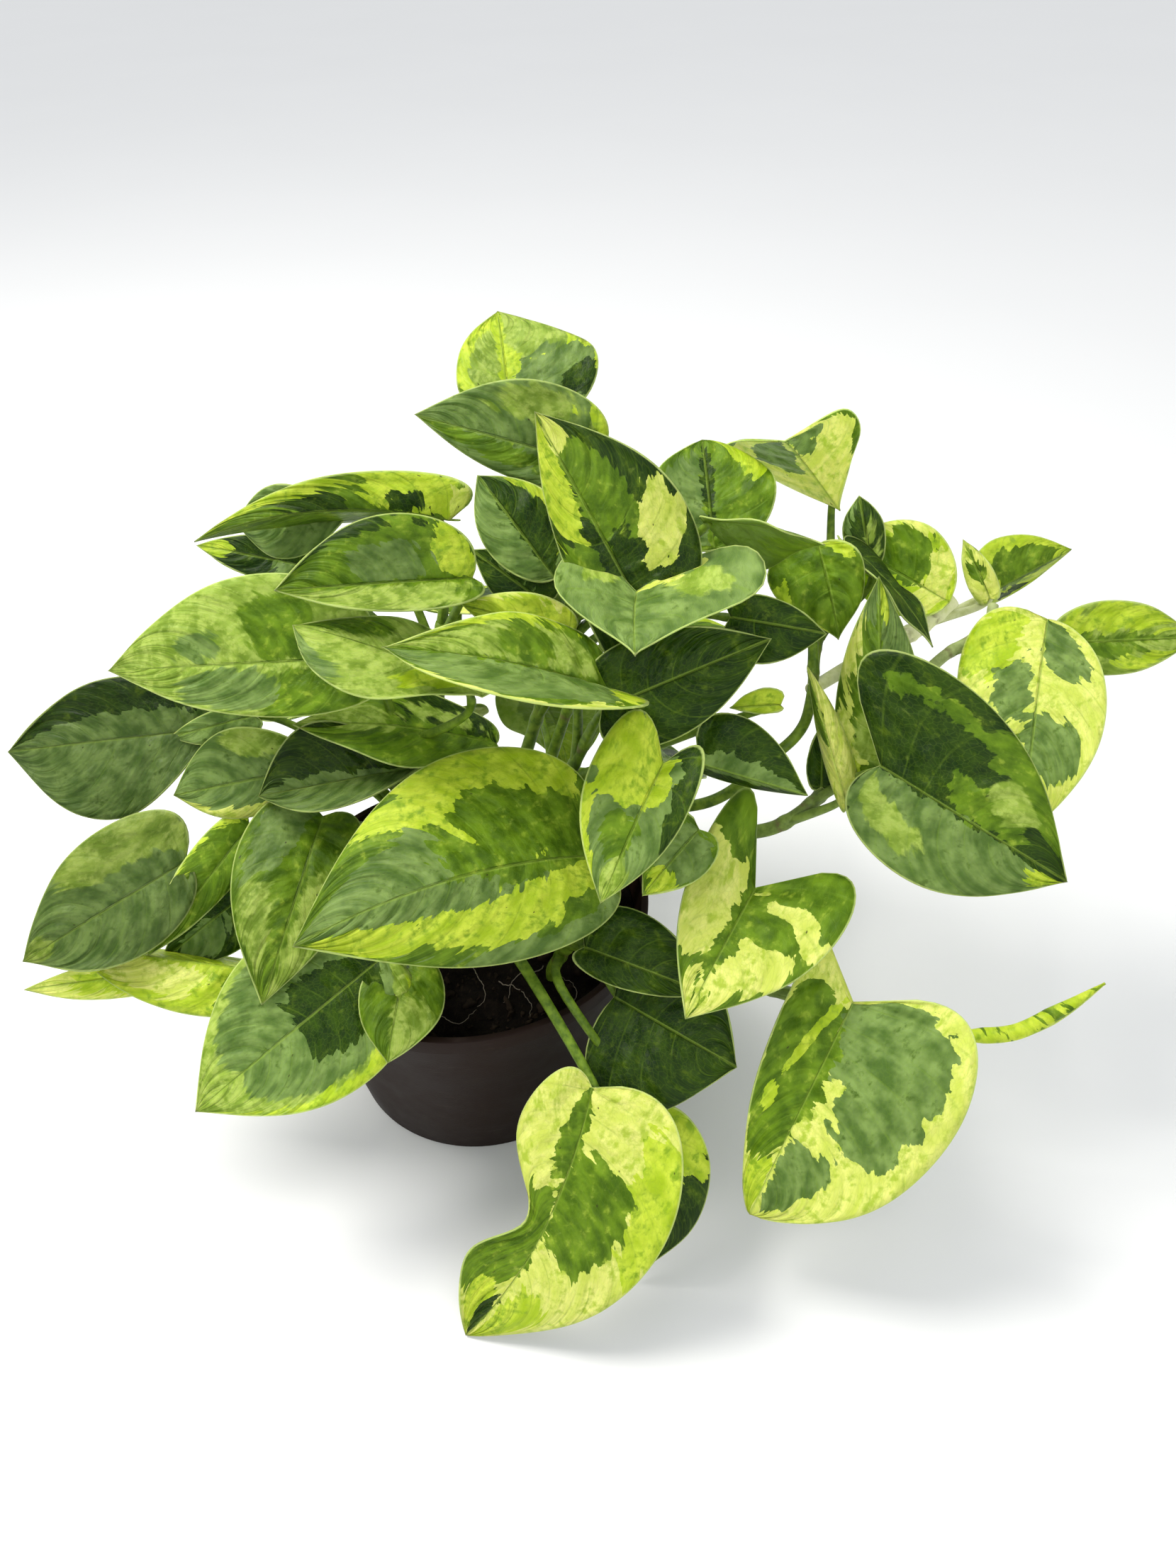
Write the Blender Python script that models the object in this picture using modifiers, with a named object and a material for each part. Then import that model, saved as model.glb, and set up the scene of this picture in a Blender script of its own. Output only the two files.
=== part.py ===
# Potted lemon meringue pothos: a nursery pot, its soil and twelve leafy stems.
# Metres, +Z up. The origin is the middle of the pot's base.

import math

import bmesh
import bpy
from mathutils import Vector
from mathutils.geometry import interpolate_bezier

# Pot, a round six-inch nursery pot with a lip
POT_HEIGHT = 0.097
POT_BASE_RADIUS = 0.057
POT_RIM_RADIUS = 0.076
POT_WALL = 0.0013
POT_FLOOR = 0.0018
LIP_HEIGHT = 0.007
LIP_STEP = 0.0016
EDGE = 0.0006
ROUND_STEPS = 40
DRAIN_HOLES = 8
DRAIN_RADIUS = 0.004
DRAIN_CIRCLE = 0.044
HOLE_SIDES = 12
CUTTER_SPARE = 0.01

# Soil
SOIL_TOP = 0.084
SOIL_RINGS = 5
SOIL_RELIEF = 0.0016
GAP = 0.0003

# Leafy stems
STEM_FOOT = 0.072
STEM_RISE = 0.088
STEM_RADIUS = 0.0032
STEM_TIP_RADIUS = 0.0022
STEM_STEPS = 3
HOLE_CLEARANCE = 0.0005
PETIOLE_RADIUS = 0.0017
PETIOLE_TIP_RADIUS = 0.0013
PETIOLE_POINTS = 6
PETIOLE_BEND = 0.35
PETIOLE_LONGEST_BEND = 0.016
OVER_STEPS = 2
BLADE_LEAD = 0.006
PETIOLE_SIDES_LEVEL = 0
STEM_SIDES_LEVEL = 1
BLADE_THICKNESS = 0.0008
BLADE_SEAT_DEPTH = 0.0006
EDGE_WAVE = 0.0015
LOBE_REACH = 1.7
LOBE_CURVE = 1.3
WIDEST_AT = 0.36
TIP_POWER = 1.1
ROW_CROWDING = 1.25
LONG_BLADE = 0.080
SHORT_BLADE = 0.050
WELD = 0.00001

COLLECTION_NAME = "potted_lemon_meringue_pothos"


def leaf(at, base, tip, face, left, right, **form):
    """A leaf: its place along the stem, its blade's two ends, the way it faces and its two half widths."""
    return {"at": at, "base": base, "tip": tip, "face": face, "left": left, "right": right, **form}


def shoot(path, leaves, radius=STEM_RADIUS, tip_radius=STEM_TIP_RADIUS, rooted=True):
    """A stem or side branch through its points, with its leaves."""
    return {"path": path, "leaves": leaves, "radius": radius, "tip_radius": tip_radius, "rooted": rooted}


def rooted_path(x, y, *points):
    """The points of a stem that stands upright in its hole before it bends away."""
    return [(x, y, STEM_FOOT), (x, y, STEM_RISE), *points]


def vine_front_left():
    path = rooted_path(0.006, -0.010, (0.008, -0.014, 0.105), (0.004, -0.016, 0.128),
                       (-0.008, -0.016, 0.142))
    return [shoot(path, [
        leaf(0.55, (0.054, -0.037, 0.154), (-0.050, -0.076, 0.151), (2, -6, 8), 0.034, 0.046,
             fold_left=-15, fold_right=-5, arch=0.07, bow=0.05, camber=0.15),
        leaf(0.98, (-0.050, -0.010, 0.152), (-0.068, -0.072, 0.116), (3, -5, 8), 0.020, 0.026,
             fold_left=5, fold_right=5, arch=0.08),
        leaf(0.45, (-0.025, -0.051, 0.119), (-0.093, -0.096, 0.086), (1, -7, 7), 0.032, 0.033,
             fold_left=5, fold_right=5, arch=0.05, peak=0.42),
        leaf(0.40, (-0.018, -0.043, 0.114), (-0.023, -0.086, 0.099), (2, -3, 9), 0.017, 0.015, peak=0.5),
        leaf(0.35, (0.051, -0.093, 0.092), (0.001, -0.139, 0.001), (-2, -8, 5), 0.041, 0.028, arch=0.06,
             bow=-0.07, lobe_left=0.16, peak_right=0.42, tip_power=0.9, notch=(0.50, 0.72, 0.13),
             over=(0.027, -0.052, 0.109), stalk=0.0026),
    ])]


def vine_over_rim():
    path = rooted_path(0.036, -0.034, (0.040, -0.036, 0.100), (0.046, -0.038, 0.112))
    return [shoot(path, [
        leaf(0.65, (0.068, -0.085, 0.069), (0.067, -0.118, 0.004), (0, -9, 5), 0.028, 0.014,
             peak_left=0.42, over=(0.040, -0.060, 0.108)),
        leaf(0.98, (0.060, -0.057, 0.099), (0.105, -0.081, 0.086), (-1, -6, 8), 0.027, 0.038, peak=0.42),
        leaf(0.80, (0.049, -0.046, 0.115), (0.096, -0.065, 0.108), (-1, -6, 8), 0.020, 0.010),
    ])]


def vine_low_right():
    path = rooted_path(0.050, -0.008, (0.064, -0.020, 0.103), (0.092, -0.048, 0.108),
                       (0.125, -0.058, 0.100), (0.165, -0.068, 0.095), (0.188, -0.079, 0.098))
    furled_leaf = [(0.186, -0.078, 0.098), (0.205, -0.080, 0.102),
                   (0.222, -0.076, 0.110), (0.237, -0.071, 0.118)]
    return [
        shoot(path, [
            leaf(0.42, (0.112, -0.044, 0.143), (0.084, -0.086, 0.121), (0, -5, 9), 0.035, 0.025,
                 peak_left=0.24, peak_right=0.24, lobe_left=0.38, lobe_right=0.6, arch=0.1),
            leaf(0.60, (0.146, -0.074, 0.114), (0.109, -0.115, 0.042), (-3, -7, 6), 0.051, 0.022,
                 lobe_left=0.22, lobe_right=0.15, peak_left=0.34, peak_right=0.2, tip_power=0.7),
        ]),
        shoot(furled_leaf, [], radius=0.0034, tip_radius=0.0012, rooted=False),
    ]


def vine_right():
    path = rooted_path(0.048, 0.014, (0.075, 0.006, 0.112), (0.105, -0.002, 0.130), (0.126, -0.007, 0.140),
                       (0.146, 0.002, 0.152), (0.168, 0.022, 0.168), (0.194, 0.045, 0.181),
                       (0.214, 0.056, 0.187), (0.219, 0.066, 0.193))
    return [shoot(path, [
        leaf(0.52, (0.159, -0.014, 0.175), (0.222, -0.051, 0.150), (-2, -8, 6), 0.041, 0.030,
             peak_left=0.27, peak_right=0.42, lobe_left=0.4, lobe_right=0.25),
        leaf(0.92, (0.234, 0.047, 0.198), (0.217, -0.018, 0.139), (-3, -6, 7), 0.025, 0.031,
             peak_left=0.46, peak_right=0.32, lobe=0.1),
        leaf(0.58, (0.162, -0.007, 0.162), (0.164, 0.045, 0.220), (-2, -7, 7), 0.018, 0.018,
             fold_left=-24, fold_right=-24),
        leaf(0.47, (0.148, -0.017, 0.159), (0.134, 0.015, 0.200), (-2, -8, 6), 0.006, 0.012,
             fold_left=-54, fold_right=-54),
        leaf(0.54, (0.142, -0.001, 0.154), (0.143, 0.015, 0.174), (-2, -8, 6), 0.006, 0.005),
        leaf(0.88, (0.240, 0.048, 0.186), (0.296, 0.047, 0.188), (0, -8, 6), 0.016, 0.014, peak=0.42),
    ])]


def vine_upper_right():
    path = rooted_path(0.030, 0.038, (0.060, 0.026, 0.118), (0.099, 0.002, 0.145), (0.122, 0.007, 0.162),
                       (0.134, 0.013, 0.171), (0.139, 0.023, 0.179), (0.143, 0.042, 0.191),
                       (0.150, 0.060, 0.198))
    cut_branch = [(0.139, 0.026, 0.181), (0.160, 0.045, 0.180), (0.187, 0.062, 0.184), (0.203, 0.070, 0.194)]
    return [
        shoot(path, [
            leaf(0.97, (0.155, 0.083, 0.228), (0.127, 0.067, 0.265), (2.7, -9.4, -2), 0.036, 0.026,
                 peak=0.64, lobe_left=0.27, lobe_right=0.01,
                 fold_left=-50, fold_right=9, tip_power=0.8, arch=-0.14),
            leaf(0.92, (0.168, 0.067, 0.206), (0.164, 0.092, 0.230), (-3, -7, 7), 0.009, 0.008, peak=0.55),
            leaf(0.90, (0.155, 0.069, 0.221), (0.186, 0.033, 0.195), (6, -1, 8), 0.012, 0.012),
            leaf(0.85, (0.142, 0.058, 0.227), (0.151, 0.041, 0.194), (1.4, -8.6, 5), 0.015, 0.022,
                 fold_left=24, fold_right=-22, tip_power=1.4, arch=0.09, peak_left=0.4),
        ], radius=0.0026, tip_radius=0.0020),
        shoot(cut_branch, [
            leaf(0.90, (0.200, 0.064, 0.196), (0.157, 0.084, 0.214), (-2, -9, 5), 0.016, 0.022, peak=0.5),
            leaf(0.72, (0.219, 0.076, 0.192), (0.255, 0.088, 0.206), (0, -8, 7), 0.019, 0.013,
                 fold_right=-68),
            leaf(0.80, (0.219, 0.071, 0.193), (0.209, 0.089, 0.211), (-4, -8, 6), 0.006, 0.006),
        ], radius=0.0026, tip_radius=0.0038, rooted=False),
    ]


def vine_crown():
    path = rooted_path(0.012, 0.030, (0.022, 0.036, 0.130), (0.038, 0.042, 0.180), (0.052, 0.046, 0.215))
    return [shoot(path, [
        leaf(0.90, (0.025, 0.084, 0.260), (0.019, 0.134, 0.292), (0, -5, 8), 0.019, 0.037, peak=0.5),
        leaf(0.98, (0.055, 0.066, 0.258), (-0.010, 0.074, 0.275), (0, -9, 4), 0.013, 0.024),
        leaf(0.95, (0.043, 0.064, 0.246), (0.023, 0.067, 0.258), (1, -9, 4), 0.008, 0.008),
        leaf(0.75, (0.072, 0.018, 0.224), (0.035, 0.060, 0.281), (-2, -7, 7), 0.019, 0.032, peak_left=0.25,
             lobe_left=0.45),
        leaf(0.60, (0.070, 0.015, 0.233), (0.068, -0.023, 0.231), (-6, 0, 8), 0.045, 0.033,
             peak_left=0.35, peak_right=0.33, lobe=0.8,
             fold_left=-20, fold_right=54, tip_power=1.8, arch=0.03),
        leaf(0.85, (0.102, 0.057, 0.226), (0.099, 0.092, 0.255), (-1, -6, 8), 0.023, 0.026,
             peak=0.5, tip_power=0.8),
        leaf(0.80, (0.095, 0.045, 0.245), (0.138, 0.028, 0.243), (0, -2, 10), 0.031, 0.003,
             peak=0.44, lobe_left=0.1, lobe_right=0.25, fold_left=-60, fold_right=49, tip_power=1.5),
        leaf(0.92, (0.106, 0.029, 0.213), (0.142, 0.024, 0.208), (-1, -8, 6), 0.010, 0.016),
        leaf(0.70, (0.041, 0.035, 0.227), (0.013, 0.058, 0.258), (0, -8, 6), 0.014, 0.017, peak=0.5),
        leaf(0.65, (0.037, 0.033, 0.218), (0.010, 0.044, 0.235), (0, -8, 5), 0.010, 0.012),
    ])]


def vine_middle():
    path = rooted_path(0.022, 0.002, (0.030, 0.006, 0.120), (0.044, 0.008, 0.155), (0.055, 0.006, 0.182))
    return [shoot(path, [
        leaf(0.90, (0.057, -0.011, 0.201), (0.117, 0.000, 0.222), (-1, -8, 6), 0.019, 0.020),
        leaf(0.98, (0.060, -0.009, 0.208), (-0.018, -0.010, 0.228), (2.3, -4.4, 8.7), 0.036, 0.020,
             peak_left=0.57, peak_right=0.34, lobe_left=1.05, lobe_right=0.03,
             fold_left=45, fold_right=21, tip_power=1.3, arch=0.07),
        leaf(0.80, (0.045, 0.012, 0.216), (0.007, 0.016, 0.229), (1, -8, 5), 0.008, 0.012),
        leaf(0.70, (0.078, -0.031, 0.192), (0.055, -0.069, 0.162), (0, -6, 8), 0.015, 0.023,
             peak_right=0.34, lobe_left=0.35, lobe_right=0.4),
        leaf(0.50, (0.091, -0.037, 0.166), (0.070, -0.055, 0.151), (0, -7, 8), 0.012, 0.012),
        leaf(0.60, (0.092, -0.014, 0.178), (0.132, -0.022, 0.168), (0, -8, 6), 0.021, 0.011,
             peak_left=0.3, fold_right=-70),
        leaf(0.65, (0.125, 0.011, 0.185), (0.105, 0.007, 0.187), (2, -8, 6), 0.003, 0.007),
    ])]


def vine_upper_left():
    path = rooted_path(-0.012, 0.032, (-0.010, 0.038, 0.130), (-0.008, 0.042, 0.180), (-0.004, 0.042, 0.205))
    return [shoot(path, [
        leaf(0.98, (0.001, 0.058, 0.240), (-0.098, 0.060, 0.232), (-1, -9, 5), 0.018, 0.014,
             peak_left=0.4, peak_right=0.28, fold_left=-78, bow=0.07),
        leaf(0.85, (-0.037, 0.072, 0.237), (-0.085, 0.075, 0.231), (-1, -9, 4), 0.015, 0.014, peak=0.6),
        leaf(0.75, (-0.065, 0.083, 0.208), (-0.108, 0.089, 0.215), (-1, -8, 6), 0.009, 0.009),
        leaf(0.90, (0.012, 0.020, 0.237), (-0.057, 0.012, 0.238), (1, -9, 5), 0.015, 0.024, fold_left=50,
             peak_right=0.42),
    ])]


def vine_left():
    path = rooted_path(-0.028, 0.008, (-0.028, 0.012, 0.120), (-0.024, 0.010, 0.150), (-0.018, 0.006, 0.172))
    return [shoot(path, [
        leaf(0.90, (-0.027, 0.008, 0.212), (-0.123, 0.010, 0.207), (0, -8, 5), 0.020, 0.032, peak_right=0.4),
        leaf(0.98, (0.015, -0.011, 0.207), (-0.051, 0.005, 0.228), (2, -2, 9), 0.024, 0.018, peak_left=0.6),
        leaf(0.80, (0.017, 0.007, 0.172), (-0.058, 0.003, 0.186), (2, -2, 10), 0.018, 0.017, peak=0.45),
        leaf(0.70, (-0.010, 0.001, 0.167), (-0.072, -0.012, 0.164), (1, -8, 6), 0.018, 0.024,
             peak=0.6, fold_left=60),
        leaf(0.60, (-0.049, 0.006, 0.164), (-0.108, -0.002, 0.157), (0, -8, 6), 0.014, 0.021, peak=0.55),
        leaf(0.65, (-0.075, 0.015, 0.182), (-0.110, 0.014, 0.173), (-1, -9, 5), 0.008, 0.006),
        leaf(0.75, (-0.093, 0.016, 0.175), (-0.176, 0.017, 0.165), (-1, -8, 6), 0.031, 0.024,
             peak_left=0.5, peak_right=0.42, lobe_left=0.02),
    ])]


def vine_low_left():
    path = rooted_path(-0.042, -0.015, (-0.056, -0.016, 0.106), (-0.070, -0.014, 0.122),
                       (-0.084, -0.010, 0.132))
    return [shoot(path, [
        leaf(0.98, (-0.103, -0.020, 0.139), (-0.164, -0.047, 0.114), (1, -8, 6), 0.022, 0.027,
             peak_left=0.45, lobe_right=0.25),
        leaf(0.85, (-0.080, -0.007, 0.145), (-0.121, -0.040, 0.107), (2, -8, 5), 0.009, 0.012),
        leaf(0.40, (-0.069, -0.042, 0.098), (-0.153, -0.034, 0.108), (0, -6, 8), 0.020, 0.016,
             peak=0.4, fold_right=-74, over=(-0.061, -0.032, 0.109)),
        leaf(0.60, (-0.116, -0.041, 0.100), (-0.168, -0.048, 0.099), (1, -7, 7), 0.008, 0.007),
        leaf(0.70, (-0.085, -0.017, 0.118), (-0.120, -0.033, 0.096), (0, -8, 6), 0.016, 0.010),
    ])]


def vine_back_left():
    path = rooted_path(-0.006, 0.052, (-0.010, 0.062, 0.108), (-0.014, 0.070, 0.136), (-0.016, 0.074, 0.150))
    return [shoot(path, [
        leaf(0.90, (-0.028, 0.084, 0.165), (-0.066, 0.122, 0.138), (-3, 6, 7), 0.024, 0.025),
        leaf(0.98, (-0.004, 0.092, 0.178), (0.002, 0.146, 0.158), (0, 5, 8), 0.027, 0.026),
        leaf(0.75, (-0.045, 0.068, 0.150), (-0.112, 0.080, 0.128), (-3, 3, 9), 0.023, 0.022),
        leaf(0.55, (-0.014, 0.088, 0.128), (-0.030, 0.124, 0.078), (-1, 8, 4), 0.022, 0.024),
        leaf(0.40, (-0.050, 0.062, 0.118), (-0.092, 0.092, 0.076), (-6, 5, 5), 0.020, 0.021),
    ])]


def vine_back_right():
    path = rooted_path(0.024, 0.054, (0.032, 0.064, 0.108), (0.042, 0.072, 0.136), (0.048, 0.076, 0.150))
    return [shoot(path, [
        leaf(0.98, (0.048, 0.098, 0.176), (0.074, 0.146, 0.158), (2, 5, 8), 0.027, 0.026),
        leaf(0.85, (0.074, 0.088, 0.160), (0.128, 0.116, 0.148), (4, 3, 8), 0.023, 0.024),
        leaf(0.55, (0.030, 0.094, 0.132), (0.042, 0.120, 0.068), (1, 8, 4), 0.026, 0.026),
        leaf(0.45, (0.072, 0.062, 0.118), (0.108, 0.098, 0.082), (6, 5, 5), 0.020, 0.021),
    ])]


VINES = {
    "vine_front_left": vine_front_left(),
    "vine_over_rim": vine_over_rim(),
    "vine_low_right": vine_low_right(),
    "vine_right": vine_right(),
    "vine_upper_right": vine_upper_right(),
    "vine_crown": vine_crown(),
    "vine_middle": vine_middle(),
    "vine_upper_left": vine_upper_left(),
    "vine_left": vine_left(),
    "vine_low_left": vine_low_left(),
    "vine_back_left": vine_back_left(),
    "vine_back_right": vine_back_right(),
}


def clear_scene():
    for old in list(bpy.data.objects):
        bpy.data.objects.remove(old, do_unlink=True)


def new_collection(name):
    group = bpy.data.collections.new(name)
    bpy.context.scene.collection.children.link(group)
    return group


def principled(name, colour, roughness):
    material = bpy.data.materials.new(name)
    material.use_nodes = True
    shader = material.node_tree.nodes["Principled BSDF"]
    shader.inputs["Base Color"].default_value = (*colour, 1.0)
    shader.inputs["Roughness"].default_value = roughness
    shader.inputs["Metallic"].default_value = 0.0
    return material


def pot_plastic():
    return principled("pot_plastic", (0.022, 0.012, 0.009), 0.55)


def potting_soil():
    return principled("potting_soil", (0.018, 0.012, 0.008), 0.95)


def leaf_green(vine_name):
    return principled(vine_name + "_leaf", (0.26, 0.42, 0.05), 0.38)


def evaluated_mesh(item):
    graph = bpy.context.evaluated_depsgraph_get()
    return bpy.data.meshes.new_from_object(item.evaluated_get(graph))


def mesh_object(name, mesh, group):
    item = bpy.data.objects.new(name, mesh)
    group.objects.link(item)
    return item


def turned(name, profile, group):
    """Turns a profile that runs down its outer side around the Z axis."""
    mesh = bpy.data.meshes.new(name)
    edges = [(i, i + 1) for i in range(len(profile) - 1)]
    mesh.from_pydata([(radius, 0, height) for radius, height in profile], edges, [])
    item = mesh_object(name, mesh, group)
    screw = item.modifiers.new("turn", "SCREW")
    screw.steps = ROUND_STEPS
    screw.render_steps = ROUND_STEPS
    screw.use_merge_vertices = True
    screw.merge_threshold = WELD
    return item


def cut(item, cutters):
    """Cuts the item with every cutter in a collection."""
    holes = item.modifiers.new("holes", "BOOLEAN")
    holes.operation = "DIFFERENCE"
    holes.operand_type = "COLLECTION"
    holes.collection = cutters


def hole_cutter(name, x, y, low, high, radius, group):
    bpy.ops.mesh.primitive_cylinder_add(vertices=HOLE_SIDES, radius=radius, depth=high - low,
                                        location=(x, y, (low + high) / 2))
    cutter = bpy.context.object
    cutter.name = name
    for owner in list(cutter.users_collection):
        owner.objects.unlink(cutter)
    group.objects.link(cutter)
    cutter.hide_render = True
    cutter.display_type = "WIRE"


def wall_radius(height):
    """The pot wall's outer radius, which widens from the base to just under the lip."""
    return POT_BASE_RADIUS + (POT_RIM_RADIUS - LIP_STEP - POT_BASE_RADIUS) * height / POT_HEIGHT


def inner_radius(height):
    return wall_radius(height) - POT_WALL


def build_pot(group, cutters):
    lip_foot = POT_HEIGHT - LIP_HEIGHT
    corner = POT_FLOOR + 2 * EDGE
    profile = [
        (0, POT_FLOOR),
        (inner_radius(POT_FLOOR) - 2 * EDGE, POT_FLOOR),
        (inner_radius(corner), corner),
        (inner_radius(POT_HEIGHT - EDGE), POT_HEIGHT - EDGE),
        (inner_radius(POT_HEIGHT) + EDGE, POT_HEIGHT),
        (POT_RIM_RADIUS - EDGE, POT_HEIGHT),
        (POT_RIM_RADIUS, POT_HEIGHT - EDGE),
        (POT_RIM_RADIUS - EDGE / 2, lip_foot),
        (wall_radius(lip_foot - EDGE), lip_foot - EDGE),
        (wall_radius(2 * EDGE), 2 * EDGE),
        (POT_BASE_RADIUS - EDGE, 0),
        (0, 0),
    ]
    pot = turned("pot", profile, group)
    for k in range(DRAIN_HOLES):
        turn = 2 * math.pi * k / DRAIN_HOLES
        hole_cutter(f"drain_cutter_{k}", DRAIN_CIRCLE * math.cos(turn), DRAIN_CIRCLE * math.sin(turn),
                    -POT_FLOOR, 2 * POT_FLOOR, DRAIN_RADIUS, cutters)
    cut(pot, cutters)
    pot.data.materials.append(pot_plastic())


def soil_relief(x, y):
    """Gentle humps and hollows of the soil's top."""
    return SOIL_RELIEF * (math.sin(170 * x + 1.0) * math.cos(140 * y) + 0.5 * math.sin(310 * y + 230 * x))


def build_soil(group, cutters):
    low = POT_FLOOR + GAP
    corner = low + 3 * EDGE
    top_radius = inner_radius(SOIL_TOP) - GAP
    rings = [(top_radius * k / SOIL_RINGS, SOIL_TOP) for k in range(SOIL_RINGS + 1)]
    profile = rings + [
        (inner_radius(corner) - GAP, corner),
        (inner_radius(low + 2 * EDGE) - GAP - 2 * EDGE, low),
        (0, low),
    ]
    turned_soil = turned("soil_blank", profile, group)
    soil = mesh_object("soil", evaluated_mesh(turned_soil), group)
    bpy.data.objects.remove(turned_soil)
    for vertex in soil.data.vertices:
        spread = math.hypot(vertex.co.x, vertex.co.y)
        if vertex.co.z > SOIL_TOP - EDGE and spread < top_radius - EDGE:
            vertex.co.z += soil_relief(vertex.co.x, vertex.co.y)
    for name, shoots in VINES.items():
        x, y, foot = shoots[0]["path"][0]
        hole_cutter(name + "_hole_cutter", x, y, foot - GAP, SOIL_TOP + CUTTER_SPARE,
                    STEM_RADIUS + HOLE_CLEARANCE, cutters)
    cut(soil, cutters)
    soil.data.materials.append(potting_soil())


def smooth_path(points, steps, rooted):
    """A smooth curve through the points. A rooted stem runs straight up through the first two."""
    knots = [Vector(point) for point in points]
    path = []
    if rooted:
        path.append(knots.pop(0))
        before = Vector((knots[0].x, knots[0].y, 2 * knots[0].z - knots[1].z))
    else:
        before = 2 * knots[0] - knots[1]
    knots = [before, *knots, 2 * knots[-1] - knots[-2]]
    for a, b, c, d in zip(knots, knots[1:], knots[2:], knots[3:]):
        for k in range(steps):
            t = k / steps
            path.append(0.5 * (2 * b + (c - a) * t + (2 * a - 5 * b + 4 * c - d) * t ** 2
                               + (3 * b - a - 3 * c + d) * t ** 3))
    path.append(knots[-2])
    return path


def along(path, share):
    """The point at a share of the path's length and the path's direction there."""
    lengths = [(b - a).length for a, b in zip(path, path[1:])]
    left = share * sum(lengths)
    for a, b, length in zip(path, path[1:], lengths):
        if left <= length:
            return a.lerp(b, left / length), (b - a).normalized()
        left -= length
    return path[-1], (path[-1] - path[-2]).normalized()


def tube(name, path, radius, tip_radius, sides_level, group):
    """A round tube along a path, narrowing evenly to its tip, as a closed mesh."""
    curve = bpy.data.curves.new(name, "CURVE")
    curve.dimensions = "3D"
    curve.bevel_depth = radius
    curve.bevel_resolution = sides_level
    curve.use_fill_caps = True
    spline = curve.splines.new("POLY")
    spline.points.add(len(path) - 1)
    for k, (point, place) in enumerate(zip(spline.points, path)):
        point.co = (*place, 1)
        point.radius = 1 + (tip_radius / radius - 1) * k / (len(path) - 1)
    guide = mesh_object(name + "_curve", curve, group)
    item = mesh_object(name, evaluated_mesh(guide), group)
    item.matrix_world = guide.matrix_world
    bpy.data.objects.remove(guide)
    shape = bmesh.new()
    shape.from_mesh(item.data)
    bmesh.ops.remove_doubles(shape, verts=shape.verts, dist=WELD)
    bmesh.ops.recalc_face_normals(shape, faces=shape.faces)
    shape.to_mesh(item.data)
    shape.free()
    return item


def blade_axes(blade):
    """The blade's base, length and three directions: along the midrib, across to its right, up its face."""
    base = Vector(blade["base"])
    run = Vector(blade["tip"]) - base
    ahead = run.normalized()
    face = Vector(blade["face"])
    up = (face - face.dot(ahead) * ahead).normalized()
    return base, run.length, ahead, ahead.cross(up), up


def outline_share(s, peak, tip_power):
    """The half width at a share of the length, as a share of the widest, which is at peak."""
    base_power = tip_power * peak / (1 - peak)
    widest = peak ** base_power * (1 - peak) ** tip_power
    return max(s, 0) ** base_power * max(1 - s, 0) ** tip_power / widest


def blade_point(blade, s, t):
    """A point of the blade's middle surface: s runs from base to tip, t from left edge to right edge."""
    base, length, ahead, across, up = blade_axes(blade)
    side = "right" if t > 0 else "left"
    sign = 1 if t > 0 else -1
    reach = abs(t)
    peak = blade.get("peak_" + side, blade.get("peak", WIDEST_AT))
    share = outline_share(s, peak, blade.get("tip_power", TIP_POWER))
    half = blade[side] * share
    if side == "right" and "notch" in blade:
        at, depth, span = blade["notch"]
        half *= 1 - depth * math.exp(-((s - at) / span) ** 2)
    fold = math.radians(blade.get("fold_" + side, 8))
    lobe = blade.get("lobe_" + side, blade.get("lobe", 0.16))
    x = length * (s - LOBE_REACH * lobe * share * (1 - s) ** 3 * reach ** LOBE_CURVE)
    y = sign * half * reach * math.cos(fold)
    z = half * (reach * math.sin(fold) - blade.get("camber", 0.12) * reach ** 2)
    z += EDGE_WAVE * reach ** 2 * math.sin(4 * math.pi * s + 1.3 * sign) * min(1, share)
    z += blade.get("arch", 0.06) * length * 4 * s * (1 - s)
    y += blade.get("bow", 0) * length * 4 * s * (1 - s)
    return base + x * ahead + y * across + z * up


def blade_segments(blade):
    """Steps along and across the blade, fewer on a small one."""
    length = blade_axes(blade)[1]
    if length > LONG_BLADE:
        return 8, 4
    if length > SHORT_BLADE:
        return 7, 4
    return 5, 2


def build_blade(name, blade, group):
    """A leaf blade: a grid bent to its outline and waves, split into triangles, then given its thickness."""
    along_steps, across_steps = blade_segments(blade)
    shape = bmesh.new()
    bmesh.ops.create_grid(shape, x_segments=along_steps, y_segments=across_steps, size=1)
    for vertex in shape.verts:
        s = max(0, (vertex.co.x + 1) / 2) ** ROW_CROWDING
        vertex.co = blade_point(blade, s, vertex.co.y)
    bmesh.ops.remove_doubles(shape, verts=shape.verts, dist=WELD)
    bmesh.ops.triangulate(shape, faces=shape.faces, quad_method="FIXED")
    mesh = bpy.data.meshes.new(name)
    shape.to_mesh(mesh)
    shape.free()
    item = mesh_object(name, mesh, group)
    solidify = item.modifiers.new("thickness", "SOLIDIFY")
    solidify.thickness = BLADE_THICKNESS
    solidify.offset = 0
    return item


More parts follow.
